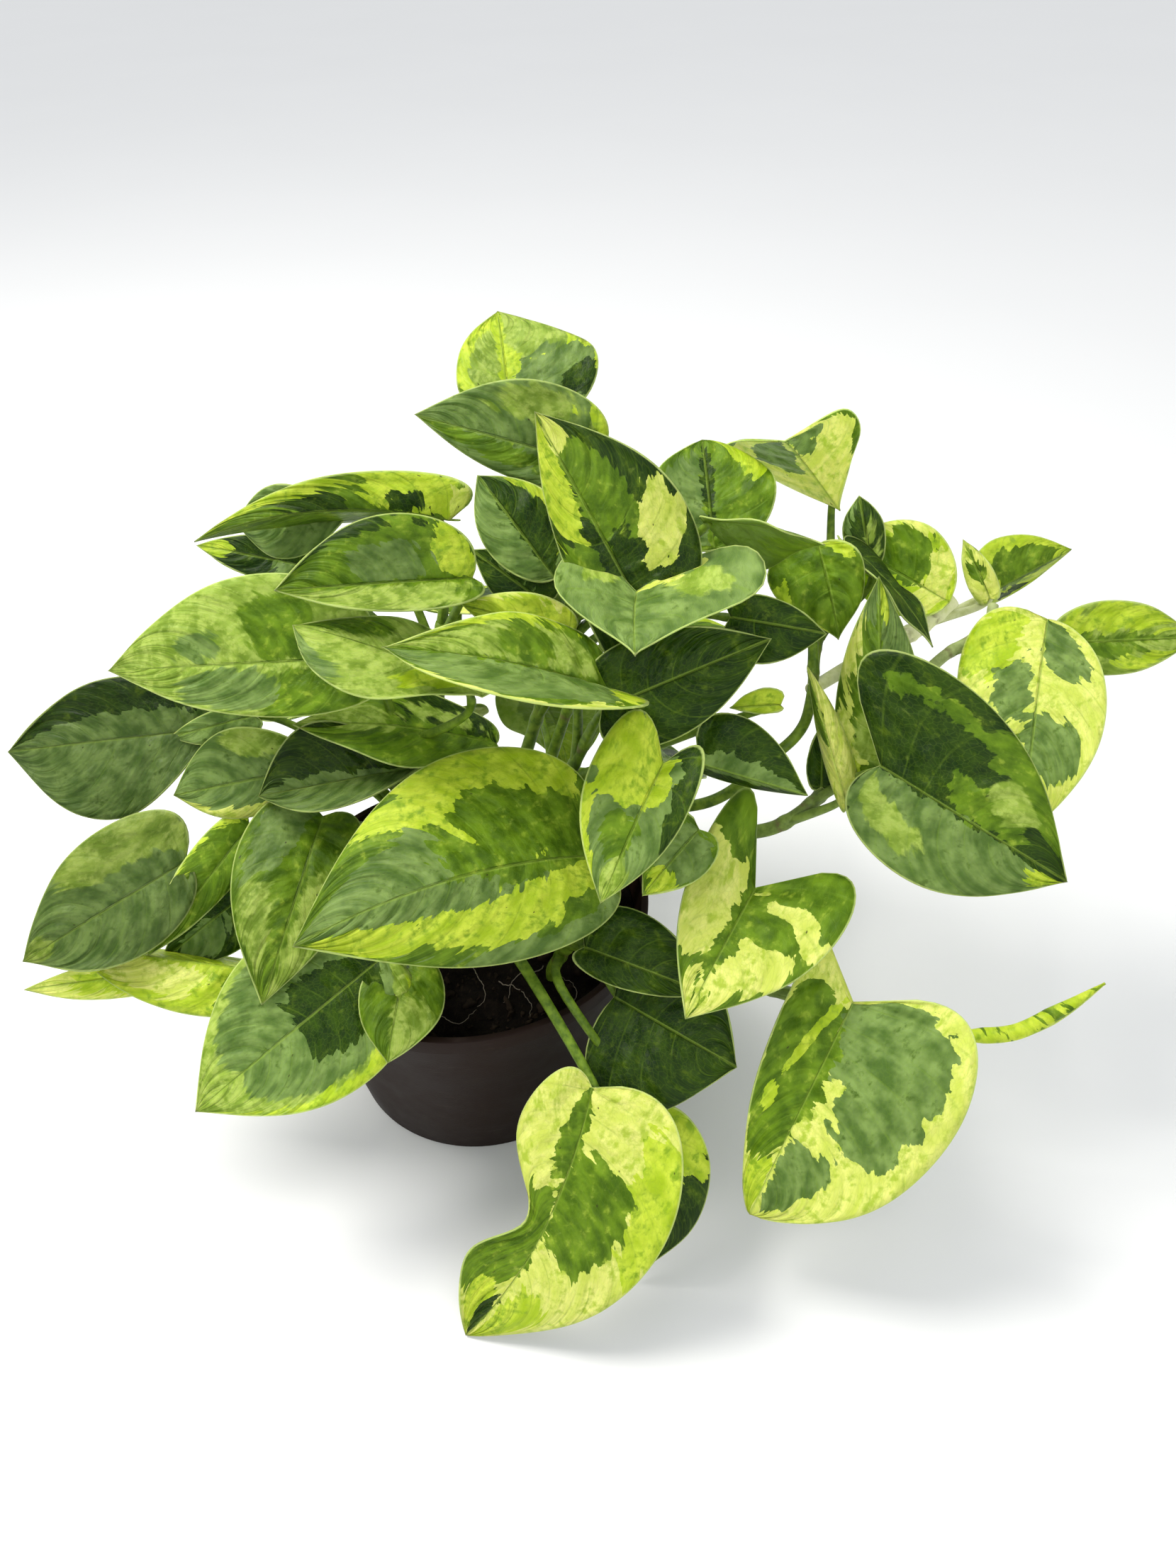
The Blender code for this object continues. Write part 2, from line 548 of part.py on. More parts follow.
def petiole_path(blade, start, heading):
    """The leaf stalk's curve, from its stem into the underside of the blade's base."""
    base, _, ahead, _, up = blade_axes(blade)
    reach = (base - start).length
    first_row = (1 / blade_segments(blade)[0]) ** ROW_CROWDING
    end = blade_point(blade, first_row, 0) - up * BLADE_SEAT_DEPTH
    if "over" in blade:
        return smooth_path([start, blade["over"], end - ahead * BLADE_LEAD - up * BLADE_LEAD / 2, end],
                           OVER_STEPS, False)
    leave = ((base - start).normalized() * 0.8 + heading * 0.6).normalized()
    arrive = (ahead * -0.5 - up * 0.8).normalized()
    bend = reach * PETIOLE_BEND
    return interpolate_bezier(start, start + leave * bend, end + arrive * min(bend, PETIOLE_LONGEST_BEND),
                              end, PETIOLE_POINTS)


def build_vine(name, shoots, group):
    """One leafy stem: its stem and branches, leaf stalks and blades, joined in one body."""
    pieces = new_collection(name + "_pieces")
    body = None
    for number, branch in enumerate(shoots):
        path = smooth_path(branch["path"], STEM_STEPS, branch["rooted"])
        stem = tube(f"{name}_stem_{number}", path, branch["radius"], branch["tip_radius"],
                    STEM_SIDES_LEVEL, pieces)
        body = body or stem
        for count, blade in enumerate(branch["leaves"]):
            start, heading = along(path, blade["at"])
            tube(f"{name}_petiole_{number}_{count}", petiole_path(blade, start, heading),
                 blade.get("stalk", PETIOLE_RADIUS), PETIOLE_TIP_RADIUS, PETIOLE_SIDES_LEVEL, pieces)
            build_blade(f"{name}_blade_{number}_{count}", blade, pieces)
    pieces.objects.unlink(body)
    group.objects.link(body)
    union = body.modifiers.new("join", "BOOLEAN")
    union.operation = "UNION"
    union.operand_type = "COLLECTION"
    union.collection = pieces
    vine = mesh_object(name, evaluated_mesh(body), group)
    bpy.data.objects.remove(body)
    for piece in list(pieces.objects):
        bpy.data.objects.remove(piece)
    bpy.data.collections.remove(pieces)
    vine.data.materials.clear()
    vine.data.materials.append(leaf_green(name))


def main():
    clear_scene()
    group = new_collection(COLLECTION_NAME)
    build_pot(group, new_collection("drain_cutters"))
    build_soil(group, new_collection("stem_hole_cutters"))
    for name, shoots in VINES.items():
        build_vine(name, shoots, group)


main()
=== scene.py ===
# Potted lemon meringue pothos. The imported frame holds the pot, the soil and twelve leafy stems.
# Finer leaves, stems, soil and pot stand for those nodes here, with their veins, roots and colours.
import math
import random

import bpy
import numpy as np
from mathutils import Matrix, Vector
from mathutils.geometry import interpolate_bezier


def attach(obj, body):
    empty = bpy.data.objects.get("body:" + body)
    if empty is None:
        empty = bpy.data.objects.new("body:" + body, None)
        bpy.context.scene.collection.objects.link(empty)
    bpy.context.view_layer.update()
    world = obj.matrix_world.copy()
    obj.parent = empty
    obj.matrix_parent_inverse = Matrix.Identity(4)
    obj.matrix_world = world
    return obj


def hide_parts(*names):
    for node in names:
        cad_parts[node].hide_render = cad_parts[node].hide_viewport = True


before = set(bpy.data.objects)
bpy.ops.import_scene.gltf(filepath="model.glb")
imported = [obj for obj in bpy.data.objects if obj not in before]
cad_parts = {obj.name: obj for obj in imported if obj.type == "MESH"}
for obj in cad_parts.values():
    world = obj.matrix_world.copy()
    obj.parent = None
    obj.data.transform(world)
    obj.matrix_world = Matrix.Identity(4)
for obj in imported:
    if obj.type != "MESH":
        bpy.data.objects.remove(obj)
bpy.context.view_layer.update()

print("frame loaded:", len(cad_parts), "nodes")

# camera, at the photograph's height and angle
cameraSettings = {
    "lens": 27.0,           # mm, for the 36 mm side along the picture's height
    "pitch": 40.0,          # degrees below the horizon
    "roll": -1.1,
    "aim": (0, 0, 0.05),    # a point on the pot's axis
    "distance": 0.523,
    "shiftRight": 0.050,    # metres to the side and up, so that the pot sits low and left
    "shiftUp": 0.083,
}

studioSettings = {
    "floorSize": 40,
    "floorColour": (0.86, 0.86, 0.85),
    "skyColour": (0.95, 0.97, 1.0),
    "skyLow": 0.38,         # strength at the horizon, and straight above
    "skyHigh": 1.12,
}


def makeCamera():
    pitch, roll = math.radians(cameraSettings["pitch"]), math.radians(cameraSettings["roll"])
    ahead = Vector((0, math.cos(pitch), -math.sin(pitch)))
    level, upright = Vector((1, 0, 0)), Vector((0, math.sin(pitch), math.cos(pitch)))
    right = math.cos(roll) * level + math.sin(roll) * upright
    up = math.cos(roll) * upright - math.sin(roll) * level
    place = (Vector(cameraSettings["aim"]) - ahead * cameraSettings["distance"]
             + right * cameraSettings["shiftRight"] + up * cameraSettings["shiftUp"])
    data = bpy.data.cameras.new("photoCamera")
    data.lens = cameraSettings["lens"]
    data.sensor_width = 36
    data.clip_start = 0.01
    camera = bpy.data.objects.new("photoCamera", data)
    bpy.context.scene.collection.objects.link(camera)
    camera.matrix_world = Matrix.Translation(place) @ Matrix((right, up, -ahead)).transposed().to_4x4()
    bpy.context.scene.camera = camera


def addAreaLight(name, place, aim, size, power, colour=(1, 1, 1)):
    data = bpy.data.lights.new(name, "AREA")
    data.size = size
    data.energy = power
    data.color = colour
    lamp = bpy.data.objects.new(name, data)
    bpy.context.scene.collection.objects.link(lamp)
    lamp.location = place
    lamp.rotation_mode = "QUATERNION"
    lamp.rotation_quaternion = (Vector(aim) - Vector(place)).to_track_quat("-Z", "Y")


def makeStudio():
    makeCamera()
    world = bpy.data.worlds.new("softSky")
    bpy.context.scene.world = world
    world.use_nodes = True
    tree = world.node_tree
    sky = tree.nodes["Background"].inputs
    _, _, height = splitVector(addNode(tree, "ShaderNodeTexCoord").outputs["Generated"])
    feed(sky["Color"], studioSettings["skyColour"])
    feed(sky["Strength"], ramped(height, 0, 1, studioSettings["skyLow"], studioSettings["skyHigh"]))
    addAreaLight("keyLight", place=(-0.60, 0.15, 1.25), aim=(0, 0, 0.12), size=0.5, power=15,
                 colour=(1.0, 0.98, 0.93))
    addAreaLight("fillLight", place=(0.35, -1.30, 0.75), aim=(0.05, 0, 0.15), size=0.9, power=5)
    bpy.ops.mesh.primitive_plane_add(size=studioSettings["floorSize"])
    floor = bpy.context.object
    floor.name = "floor"
    cover(floor, paleFloor())
    bpy.context.scene.view_settings.view_transform = "Standard"
    print("studio set")


# small helpers for materials: most add one node, in the node tree of what they are given, and return its output
def addNode(tree, kind, **settings):
    node = tree.nodes.new(kind)
    for name, value in settings.items():
        setattr(node, name, value)
    return node


def isSocket(value):
    return isinstance(value, bpy.types.NodeSocket)


def feed(socket, value):
    if isSocket(value):
        socket.id_data.links.new(value, socket)
    elif isinstance(value, tuple) and len(value) == 3 and socket.type == "RGBA":
        socket.default_value = (*value, 1)
    else:
        socket.default_value = value


def addFedNode(kind, fed, **settings):
    # a new node with the values or sockets of fed at its inputs
    tree = next(value.id_data for value in fed.values() if isSocket(value))
    node = addNode(tree, kind, **settings)
    for name, value in fed.items():
        feed(node.inputs[name], value)
    return node


def readAttribute(tree, name):
    return addNode(tree, "ShaderNodeAttribute", attribute_name=name).outputs["Vector"]


def splitVector(vector):
    parts = addFedNode("ShaderNodeSeparateXYZ", {0: vector}).outputs
    return parts["X"], parts["Y"], parts["Z"]


def calculate(operation, first, second):
    return addFedNode("ShaderNodeMath", {0: first, 1: second}, operation=operation).outputs[0]


def times(first, second):
    return calculate("MULTIPLY", first, second)


def plus(first, second):
    return calculate("ADD", first, second)


def minus(first, second):
    return calculate("SUBTRACT", first, second)


def stretched(vector, factors):
    return addFedNode("ShaderNodeVectorMath", {0: vector, 1: factors}, operation="MULTIPLY").outputs[0]


def moved(vector, shift):
    return addFedNode("ShaderNodeVectorMath", {0: vector, 1: shift}, operation="ADD").outputs[0]


def ramped(value, low, high, bottom=0.0, top=1.0):
    fed = {"Value": value, "From Min": low, "From Max": high, "To Min": bottom, "To Max": top}
    return addFedNode("ShaderNodeMapRange", fed, interpolation_type="SMOOTHSTEP").outputs["Result"]


def blended(factor, first, second):
    fed = {"Factor": factor, 6: first, 7: second}
    return addFedNode("ShaderNodeMix", fed, data_type="RGBA").outputs[2]


def noisy(vector, scale, detail=2.0, roughness=0.5, output="Fac"):
    fed = {"Vector": vector, "Scale": scale, "Detail": detail, "Roughness": roughness}
    return addFedNode("ShaderNodeTexNoise", fed).outputs[output]


def cells(vector, scale, feature="F1", output="Distance"):
    fed = {"Vector": vector, "Scale": scale}
    return addFedNode("ShaderNodeTexVoronoi", fed, feature=feature).outputs[output]


def bumped(height, distance, strength=1.0):
    fed = {"Height": height, "Distance": distance, "Strength": strength}
    return addFedNode("ShaderNodeBump", fed).outputs["Normal"]


def newMaterial(name):
    material = bpy.data.materials.new(name)
    material.use_nodes = True
    tree = material.node_tree
    return material, tree, tree.nodes["Principled BSDF"].inputs


def objectPlace(tree):
    return addNode(tree, "ShaderNodeTexCoord").outputs["Object"]


def dress(shader, colour, roughness, specular=0.5, normal=None):
    feed(shader["Base Color"], colour)
    feed(shader["Roughness"], roughness)
    shader["Specular IOR Level"].default_value = specular
    if normal is not None:
        feed(shader["Normal"], normal)


def paleFloor():
    material, tree, shader = newMaterial("paleFloor")
    grain = noisy(objectPlace(tree), 3.0, 3)
    colour = studioSettings["floorColour"]
    dress(shader, blended(grain, colour, tuple(c * 0.97 for c in colour)), 0.8)
    return material


# leaf colours: two cloudy tones of each zone, the tone of its flecks, where in the grain they start, and how
# many millimetres it takes to turn into the next zone
leafColours = {
    "kinds": ("dark", "green", "grey", "lime", "cream", "mottle"),
    "dark": ((0.008, 0.027, 0.0002), (0.027, 0.062, 0.0008), (0.080, 0.132, 0.004), 0.67, 0.5),
    "green": ((0.052, 0.112, 0.001), (0.146, 0.254, 0.009), (0.280, 0.380, 0.030), 0.66, 0.6),
    "grey": ((0.070, 0.132, 0.020), (0.205, 0.300, 0.076), (0.058, 0.112, 0.010), 0.67, 0.3),
    "lime": ((0.340, 0.470, 0.012), (0.560, 0.660, 0.055), (0.220, 0.350, 0.012), 0.58, 0.3),
    "cream": ((0.520, 0.590, 0.090), (0.700, 0.720, 0.190), (0.380, 0.480, 0.045), 0.58, 0.2),
    "mottle": ((0.150, 0.240, 0.018), (0.290, 0.400, 0.055), (0.370, 0.470, 0.090), 0.52, 1.6),
    "wander": 17.0,         # mm that a zone's edge may wander, between the ends of its noise
    "wanderScale": (2.6, 1.1, 1.0),
    "veinTint": (0.17, 0.28, 0.018),
    "ribTint": (0.26, 0.38, 0.045),
    "marginTint": (0.48, 0.58, 0.18),
    "speckTint": (0.030, 0.022, 0.006),
    "scuffTint": (0.28, 0.33, 0.12),
    # the underside's tint: partly its own paler green, partly painted light shining through backlit leaves
    "undersideAndBacklightTint": (0.150, 0.260, 0.008),
    "under": 0.60,          # how much of it the underside takes
    "toneLow": 0.88,        # leaves differ by this and the spread: a random tone, plus painted light on some leaves and painted shade on others
    "toneSpread": 0.22,
}

# widths, strengths and depths of what lies on a leaf
leafLines = {
    "marginWidth": 0.45,    # mm, the pale line along the edge
    "veinSpacing": 0.9,     # cm between side veins
    "netScale": 6.5, "speckScale": 2.2,
    "sideVein": 0.24, "netLine": 0.13, "midrib": 0.45, "margin": 0.75, "speck": 0.8, "scuff": 0.12,
    "swellDepth": 2.7, "skinDepth": 0.07, "sideVeinDepth": 0.10, "netDepth": 0.035,
}

# scale, detail and roughness of each noise on a leaf
leafNoise = {
    "wander": (1.0, 4, 0.52), "cloud": (1.2, 3, 0.55), "veined": (1.0, 2, 0.5), "grain": (3.2, 5, 0.58),
    "fading": (0.8, 2), "scuff": (1.6, 6, 0.72), "swell": (1.25, 2, 0.45), "skin": (26.0, 3, 0.6),
}

# least and most roughness, and shine
leafGloss = {"face": (0.40, 0.56, 0.14), "underside": (0.55, 0.70, 0.10)}


def leafSurface(name, under=False):
    material, tree, shader = newMaterial(name)
    place = readAttribute(tree, "veinPlace")    # cm along the midrib where the side vein starts, cm out, leaf
    spot = readAttribute(tree, "bladePlace")    # cm along the blade, cm across it, leaf
    zones = [*splitVector(readAttribute(tree, "zonesA")), *splitVector(readAttribute(tree, "zonesB"))]
    edge, across, randomToneAndPaintedLight = splitVector(readAttribute(tree, "leafEdge"))
    alongVein, _, _ = splitVector(place)

    # the zones' edges wander, with teeth that run along the side veins
    streaks = stretched(place, leafColours["wanderScale"])
    wander = []
    for number in range(2):
        drift = noisy(moved(streaks, (7.3 * number, 3.1, 0)), *leafNoise["wander"], "Color")
        wander += [times(minus(part, 0.5), leafColours["wander"]) for part in splitVector(drift)]

    cloud = noisy(spot, *leafNoise["cloud"])
    veined = noisy(stretched(place, (2.2, 0.9, 1.0)), *leafNoise["veined"])
    grain = noisy(spot, *leafNoise["grain"])
    clouds = ramped(plus(cloud, veined), 0.74, 1.26)
    flecks = plus(grain, times(minus(cloud, 0.5), 0.7))
    colour, best = None, None
    for number, kind in enumerate(leafColours["kinds"]):
        first, second, third, above, soft = leafColours[kind]
        shade = blended(clouds, first, second)
        shade = blended(ramped(flecks, above - 0.12, above + 0.15), shade, third)
        value = plus(zones[number], wander[number])
        if colour is None:
            colour, best = shade, value
            continue
        lead = minus(value, best)
        colour = blended(ramped(lead, -soft, soft), colour, shade)
        best = calculate("MAXIMUM", best, value)

    # side veins, fine net of veins, midrib and the pale line along the margin
    fromVein = calculate("PINGPONG", alongVein, leafLines["veinSpacing"] / 2)
    fading = ramped(noisy(spot, *leafNoise["fading"]), 0.38, 0.60, 0.15, 1.0)
    sideVein = times(ramped(fromVein, 0.010, 0.050, 1, 0), fading)
    netLine = ramped(cells(place, leafLines["netScale"], "DISTANCE_TO_EDGE"), 0.0, 0.10, 1, 0)
    midrib = ramped(across, 0.25, 0.75, 1, 0)
    margin = ramped(edge, leafLines["marginWidth"] * 0.4, leafLines["marginWidth"] * 1.4, 1, 0)
    for line, key, tint in ((sideVein, "sideVein", "veinTint"), (netLine, "netLine", "veinTint"),
                            (midrib, "midrib", "ribTint"), (margin, "margin", "marginTint")):
        colour = blended(times(line, leafLines[key]), colour, leafColours[tint])

    if under:
        # the underside takes a tint that is partly its own paler green and partly painted light shining through
        # from behind
        colour = blended(leafColours["under"], colour, leafColours["undersideAndBacklightTint"])
    else:
        # a few brown specks and faint pale scuffs
        gap = cells(place, leafLines["speckScale"])
        chance, _, _ = splitVector(cells(place, leafLines["speckScale"], output="Color"))
        speck = times(ramped(gap, 0.05, 0.09, 1, 0), ramped(chance, 0.84, 0.86))
        colour = blended(times(speck, leafLines["speck"]), colour, leafColours["speckTint"])
        scuff = ramped(noisy(spot, *leafNoise["scuff"]), 0.60, 0.72)
        colour = blended(times(scuff, leafLines["scuff"]), colour, leafColours["scuffTint"])
    # brightness: a random tone per leaf, plus painted light that lifts leaves lying in shade and painted shade
    # that darkens others
    brightness = plus(times(randomToneAndPaintedLight, leafColours["toneSpread"]), leafColours["toneLow"])
    toned = addFedNode("ShaderNodeVectorMath", {0: colour, "Scale": brightness}, operation="SCALE").outputs[0]

    # the surface in millimetres: swells between the veins, sunk veins and a fine skin
    swell = noisy(stretched(place, (1.35, 1.0, 1.0)), *leafNoise["swell"])
    skin = noisy(spot, *leafNoise["skin"])
    sunk = plus(times(sideVein, leafLines["sideVeinDepth"]), times(netLine, leafLines["netDepth"]))
    height = plus(times(swell, leafLines["swellDepth"]), times(skin, leafLines["skinDepth"]))
    height = plus(height, sunk) if under else minus(height, sunk)
    smooth, rough, shine = leafGloss["underside" if under else "face"]
    dress(shader, toned, ramped(skin, 0.25, 0.8, smooth, rough), shine, bumped(height, 0.001))
    shader["Subsurface Weight"].default_value = 0.30
    shader["Subsurface Radius"].default_value = (1.0, 1.5, 0.2)
    shader["Subsurface Scale"].default_value = 0.0012
    return material


# the darker and the lighter tone of what a piece is made of, and single tints that lie on it
pieceColours = {
    "greenStem": ((0.060, 0.120, 0.004), (0.170, 0.270, 0.018)),
    "creamStem": ((0.700, 0.740, 0.320), (0.880, 0.880, 0.540)),
    "nodeScar": (0.130, 0.095, 0.040),
    "plastic": ((0.0105, 0.0050, 0.0032), (0.0190, 0.0094, 0.0064)),
    "splash": (0.085, 0.065, 0.050),
    "scratch": (0.070, 0.052, 0.042),
    # peat: its own dark brown, darkened to near black as painted shade under the leaves
    "peat": ((0.0016, 0.0012, 0.0008), (0.0090, 0.0062, 0.0040)),
    "fibre": (0.045, 0.030, 0.017),
    # bark crumbs: their own dark brown, darkened to near black as painted shade under the leaves
    "bark": ((0.003, 0.0020, 0.0012), (0.016, 0.010, 0.0056)),
    "paleBark": (0.050, 0.033, 0.019),
    "root": ((0.060, 0.045, 0.030), (0.26, 0.22, 0.16)),
}


def stemSkin():
    material, tree, shader = newMaterial("stemSkin")
    _, tint, scar = splitVector(readAttribute(tree, "stemPlace"))   # mm along, paleness, node scar
    place = objectPlace(tree)
    mottling = noisy(place, 260, 3, 0.6)
    clouds = ramped(mottling, 0.3, 0.7)
    greenTone = blended(clouds, *pieceColours["greenStem"])
    creamTone = blended(clouds, *pieceColours["creamStem"])
    ring = ramped(noisy(place, 420, 2), 0.35, 0.6)
    ring = times(scar, times(ring, 0.8))
    colour = blended(ring, blended(tint, greenTone, creamTone), pieceColours["nodeScar"])
    dress(shader, colour, ramped(mottling, 0.2, 0.8, 0.42, 0.58), 0.25,
          bumped(noisy(place, 900, 2), 0.00015, 0.6))
    return material


def potPlastic():
    material, tree, shader = newMaterial("potPlastic")
    place = objectPlace(tree)
    cloud = noisy(place, 38, 4, 0.6)
    dust = ramped(noisy(place, 210, 3, 0.7), 0.55, 0.78)
    colour = blended(cloud, *pieceColours["plastic"])
    _, _, height = splitVector(place)
    splash = times(dust, ramped(height, 0.0, 0.05, 0.13, 0.05))
    colour = blended(splash, colour, pieceColours["splash"])
    scratch = ramped(noisy(stretched(place, (60, 60, 900)), 1.0, 2), 0.66, 0.72)
    colour = blended(times(scratch, 0.15), colour, pieceColours["scratch"])
    dress(shader, colour, ramped(cloud, 0.25, 0.75, 0.46, 0.62), 0.12,
          bumped(noisy(place, 1400, 2), 0.0001, 0.5))
    return material


def peatWithPaintedShade():
    material, tree, shader = newMaterial("peatWithPaintedShade")
    place = objectPlace(tree)
    clods = noisy(place, 300, 5, 0.7)
    fibre = ramped(noisy(stretched(place, (900, 300, 500)), 1.0, 3), 0.58, 0.75)
    # clods of peat in its own dark brown, darkened further as painted shade
    colour = blended(ramped(clods, 0.3, 0.75), *pieceColours["peat"])
    colour = blended(times(fibre, 0.25), colour, pieceColours["fibre"])
    dress(shader, colour, ramped(clods, 0, 1, 0.85, 1.0), 0.08, bumped(clods, 0.0012, 0.9))
    return material


def barkCrumb():
    material, tree, shader = newMaterial("barkCrumb")
    place = objectPlace(tree)
    grain = noisy(place, 500, 4, 0.65)
    patch = ramped(noisy(place, 90, 2), 0.4, 0.62)
    # the crumbs' dark brown, darkened further as painted shade
    colour = blended(grain, *pieceColours["bark"])
    colour = blended(times(patch, 0.35), colour, pieceColours["paleBark"])
    dress(shader, colour, 0.9, 0.10, bumped(grain, 0.0006, 0.8))
    return material


def paleRoot():
    material, tree, shader = newMaterial("paleRoot")
    grain = noisy(objectPlace(tree), 350, 3, 0.6)
    dress(shader, blended(grain, *pieceColours["root"]), 0.7)
    return material


# The leafy stems, as in the part, in millimetres. A shoot is a path and its leaves. A leaf is where on the path
# it grows, its two ends, the way it faces, its half widths, its ground colour and its marks. A mark is a colour,
# then from and to along the blade and from and to across it, in hundredths, and last how far it leans.
# among a leaf's form settings, one lifts its colour as painted light when above 0 and darkens it as painted
# shade when below 0
vines = {}
dark, green, grey, lime, cream, mottle = leafColours["kinds"]
shootSettings = {"rootedFrom": 72, "rootedTo": 88, "radius": 3.2, "tipRadius": 2.2}


def metres(place):
    return tuple(part / 1000 for part in place)


def leaf(at, base, tip, face, left, right, ground, marks=(), **form):
    if "over" in form:
        form["over"] = metres(form["over"])
    if "stalk" in form:
        form["stalk"] /= 1000
    marks = [(kind, *(span / 100 for span in spans)) for kind, *spans in marks]
    return {"at": at, "base": metres(base), "tip": metres(tip), "face": face, "left": left / 1000,
            "right": right / 1000, "ground": ground, "marks": marks, **form}


def rootedPath(x, y, *points):
    return [(x, y, shootSettings["rootedFrom"]), (x, y, shootSettings["rootedTo"]), *points]


def growShoot(node, path, leaves, radius=shootSettings["radius"], tipRadius=shootSettings["tipRadius"],
              rooted=True, pale=(0.0, 0.0)):
    vines.setdefault(node, []).append({
        "path": [metres(point) for point in path], "leaves": leaves, "radius": radius / 1000,
        "tipRadius": tipRadius / 1000, "rooted": rooted, "pale": pale})


growShoot("vine_front_left", rootedPath(6, -10, (8, -14, 105), (4, -16, 128), (-8, -16, 142)), [
    leaf(0.55, (54, -37, 154), (-50, -76, 151), (2, -6, 8), 34, 46, green, [(grey, 50, 100, -10, 58),
         (lime, 62, 97, -95, -30), (lime, 18, 64, -78, -16), (lime, -5, 24, -55, -12), (grey, 30, 97, -34, -2),
         (grey, -5, 62, -108, -80), (lime, 8, 62, 62, 108), (lime, 38, 55, 10, 100, 53), (green, 8, 42, 6, 68)],
         fold=(-15, -5), arch=0.07, bow=0.05, camber=0.15),
    leaf(0.98, (-50, -10, 152), (-68, -72, 116), (3, -5, 8), 20, 26, green, [(grey, -5, 42, 30, 85),
         (mottle, 30, 98, -90, -10), (mottle, 45, 90, 30, 90)], fold=5, arch=0.08, glow=-0.6),
    leaf(0.45, (-25, -51, 119), (-93, -96, 86), (1, -7, 7), 32, 33, mottle, [(grey, -5, 76, -80, 90),
         (dark, 6, 46, -56, 40), (lime, 10, 80, -108, -84), (grey, 50, 72, -50, 20)], peak=0.42, fold=5,
         arch=0.05),
    leaf(0.4, (-18, -43, 114), (-23, -86, 99), (2, -3, 9), 17, 15, green, [(mottle, 50, 98, -90, 10),
         (dark, 0, 30, -20, 60)], peak=0.5),
    leaf(0.35, (51, -93, 92), (1, -139, 1), (-2, -8, 5), 41, 28, cream, [(lime, 10, 50, -108, -62),
         (lime, 72, 100, -80, -10), (green, 20, 56, -64, 4), (green, 38, 80, -2, 108), (lime, 74, 98, 20, 85),
         (green, -5, 30, -8, 36), (dark, 80, 100, 0, 40)], peak=(0.36, 0.42), arch=0.06, bow=-0.07,
         tipPower=0.9, notch=(0.5, 0.72, 0.13), over=(27, -52, 109), stalk=2.6),
])
growShoot("vine_over_rim", rootedPath(36, -34, (40, -36, 100), (46, -38, 112)), [
    leaf(0.65, (68, -85, 69), (67, -118, 4), (0, -9, 5), 28, 14, dark, [(lime, -2, 42, -108, -40),
         (green, 30, 100, -30, 60)], peak=(0.42, 0.36), over=(40, -60, 108)),
    leaf(0.98, (60, -57, 99), (105, -81, 86), (-1, -6, 8), 27, 38, dark, peak=0.42),
    leaf(0.8, (49, -46, 115), (96, -65, 108), (-1, -6, 8), 20, 10, dark),
])
growShoot("vine_low_right", rootedPath(50, -8, (64, -20, 103), (92, -48, 108), (125, -58, 100), (165, -68, 95),
          (188, -79, 98)), [
    leaf(0.42, (112, -44, 143), (84, -86, 121), (0, -5, 9), 35, 25, green, [(cream, 64, 102, -90, 90),
         (cream, 42, 72, -98, -10), (cream, 2, 64, 13, 108), (green, -10, 20, 42, 110),
         (cream, 17, 28, -100, -8, 41), (green, 22, 74, -14, 13), (green, 78, 95, -32, -20),
         (green, 75, 95, 20, 32)], peak=0.24, lobe=(0.38, 0.6), arch=0.1),
    leaf(0.6, (146, -74, 114), (109, -115, 42), (-3, -7, 6), 51, 22, cream, [(grey, 60, 93, -52, -2),
         (grey, -5, 36, -86, 4), (grey, 25, 56, -80, -20), (green, 6, 74, -8, 102), (lime, 11, 24, 4, 58, 87),
         (lime, 44, 56, 50, 80), (lime, 74, 100, 5, 90)], peak=(0.34, 0.2), lobe=(0.22, 0.15), tipPower=0.7),
], pale=(0.0, 0.25))
growShoot("vine_right", rootedPath(48, 14, (75, 6, 112), (105, -2, 130), (126, -7, 140), (146, 2, 152),
          (168, 22, 168), (194, 45, 181), (214, 56, 187), (219, 66, 193)), [
    leaf(0.52, (159, -14, 175), (222, -51, 150), (-2, -8, 6), 41, 30, dark, [(grey, -5, 98, 3, 108),
         (lime, 84, 96, 30, 90), (mottle, 4, 40, 42, 80, 25), (green, 34, 74, -34, 0),
         (green, 14, 50, -84, -66), (green, 44, 92, -108, -55), (mottle, 50, 72, -66, -22)], peak=(0.27, 0.42),
         lobe=(0.4, 0.25)),
    leaf(0.92, (234, 47, 198), (217, -18, 139), (-3, -6, 7), 25, 31, cream, [(grey, 47, 73, -82, 14),
         (grey, -2, 31, -84, -2), (grey, 22, 50, 8, 55), (lime, 3, 32, 35, 100), (green, 55, 98, 15, 90),
         (lime, 78, 100, -50, 10)], peak=(0.46, 0.32), lobe=0.1, glow=0.3),
    leaf(0.58, (162, -7, 162), (164, 45, 220), (-2, -7, 7), 18, 18, green, [(grey, 78, 102, -100, -10),
         (cream, 52, 80, -108, -55), (cream, 8, 52, -92, -58), (grey, 50, 86, 8, 108), (lime, 78, 95, 8, 60),
         (mottle, 8, 36, -55, 85), (lime, 33, 44, -5, 35), (lime, 2, 25, -108, -60)], fold=-24),
    leaf(0.47, (148, -17, 159), (134, 15, 200), (-2, -8, 6), 6, 12, cream, [(green, 50, 95, -100, 0)],
         fold=-54),
    leaf(0.54, (142, -1, 154), (143, 15, 174), (-2, -8, 6), 6, 5, dark),
    leaf(0.88, (240, 48, 186), (296, 47, 188), (0, -8, 6), 16, 14, mottle, [(lime, 10, 78, -100, -25),
         (green, 12, 97, -20, 10), (green, 10, 60, 10, 50), (lime, 45, 78, 45, 95)], peak=0.42),
], pale=(0.0, 0.35))
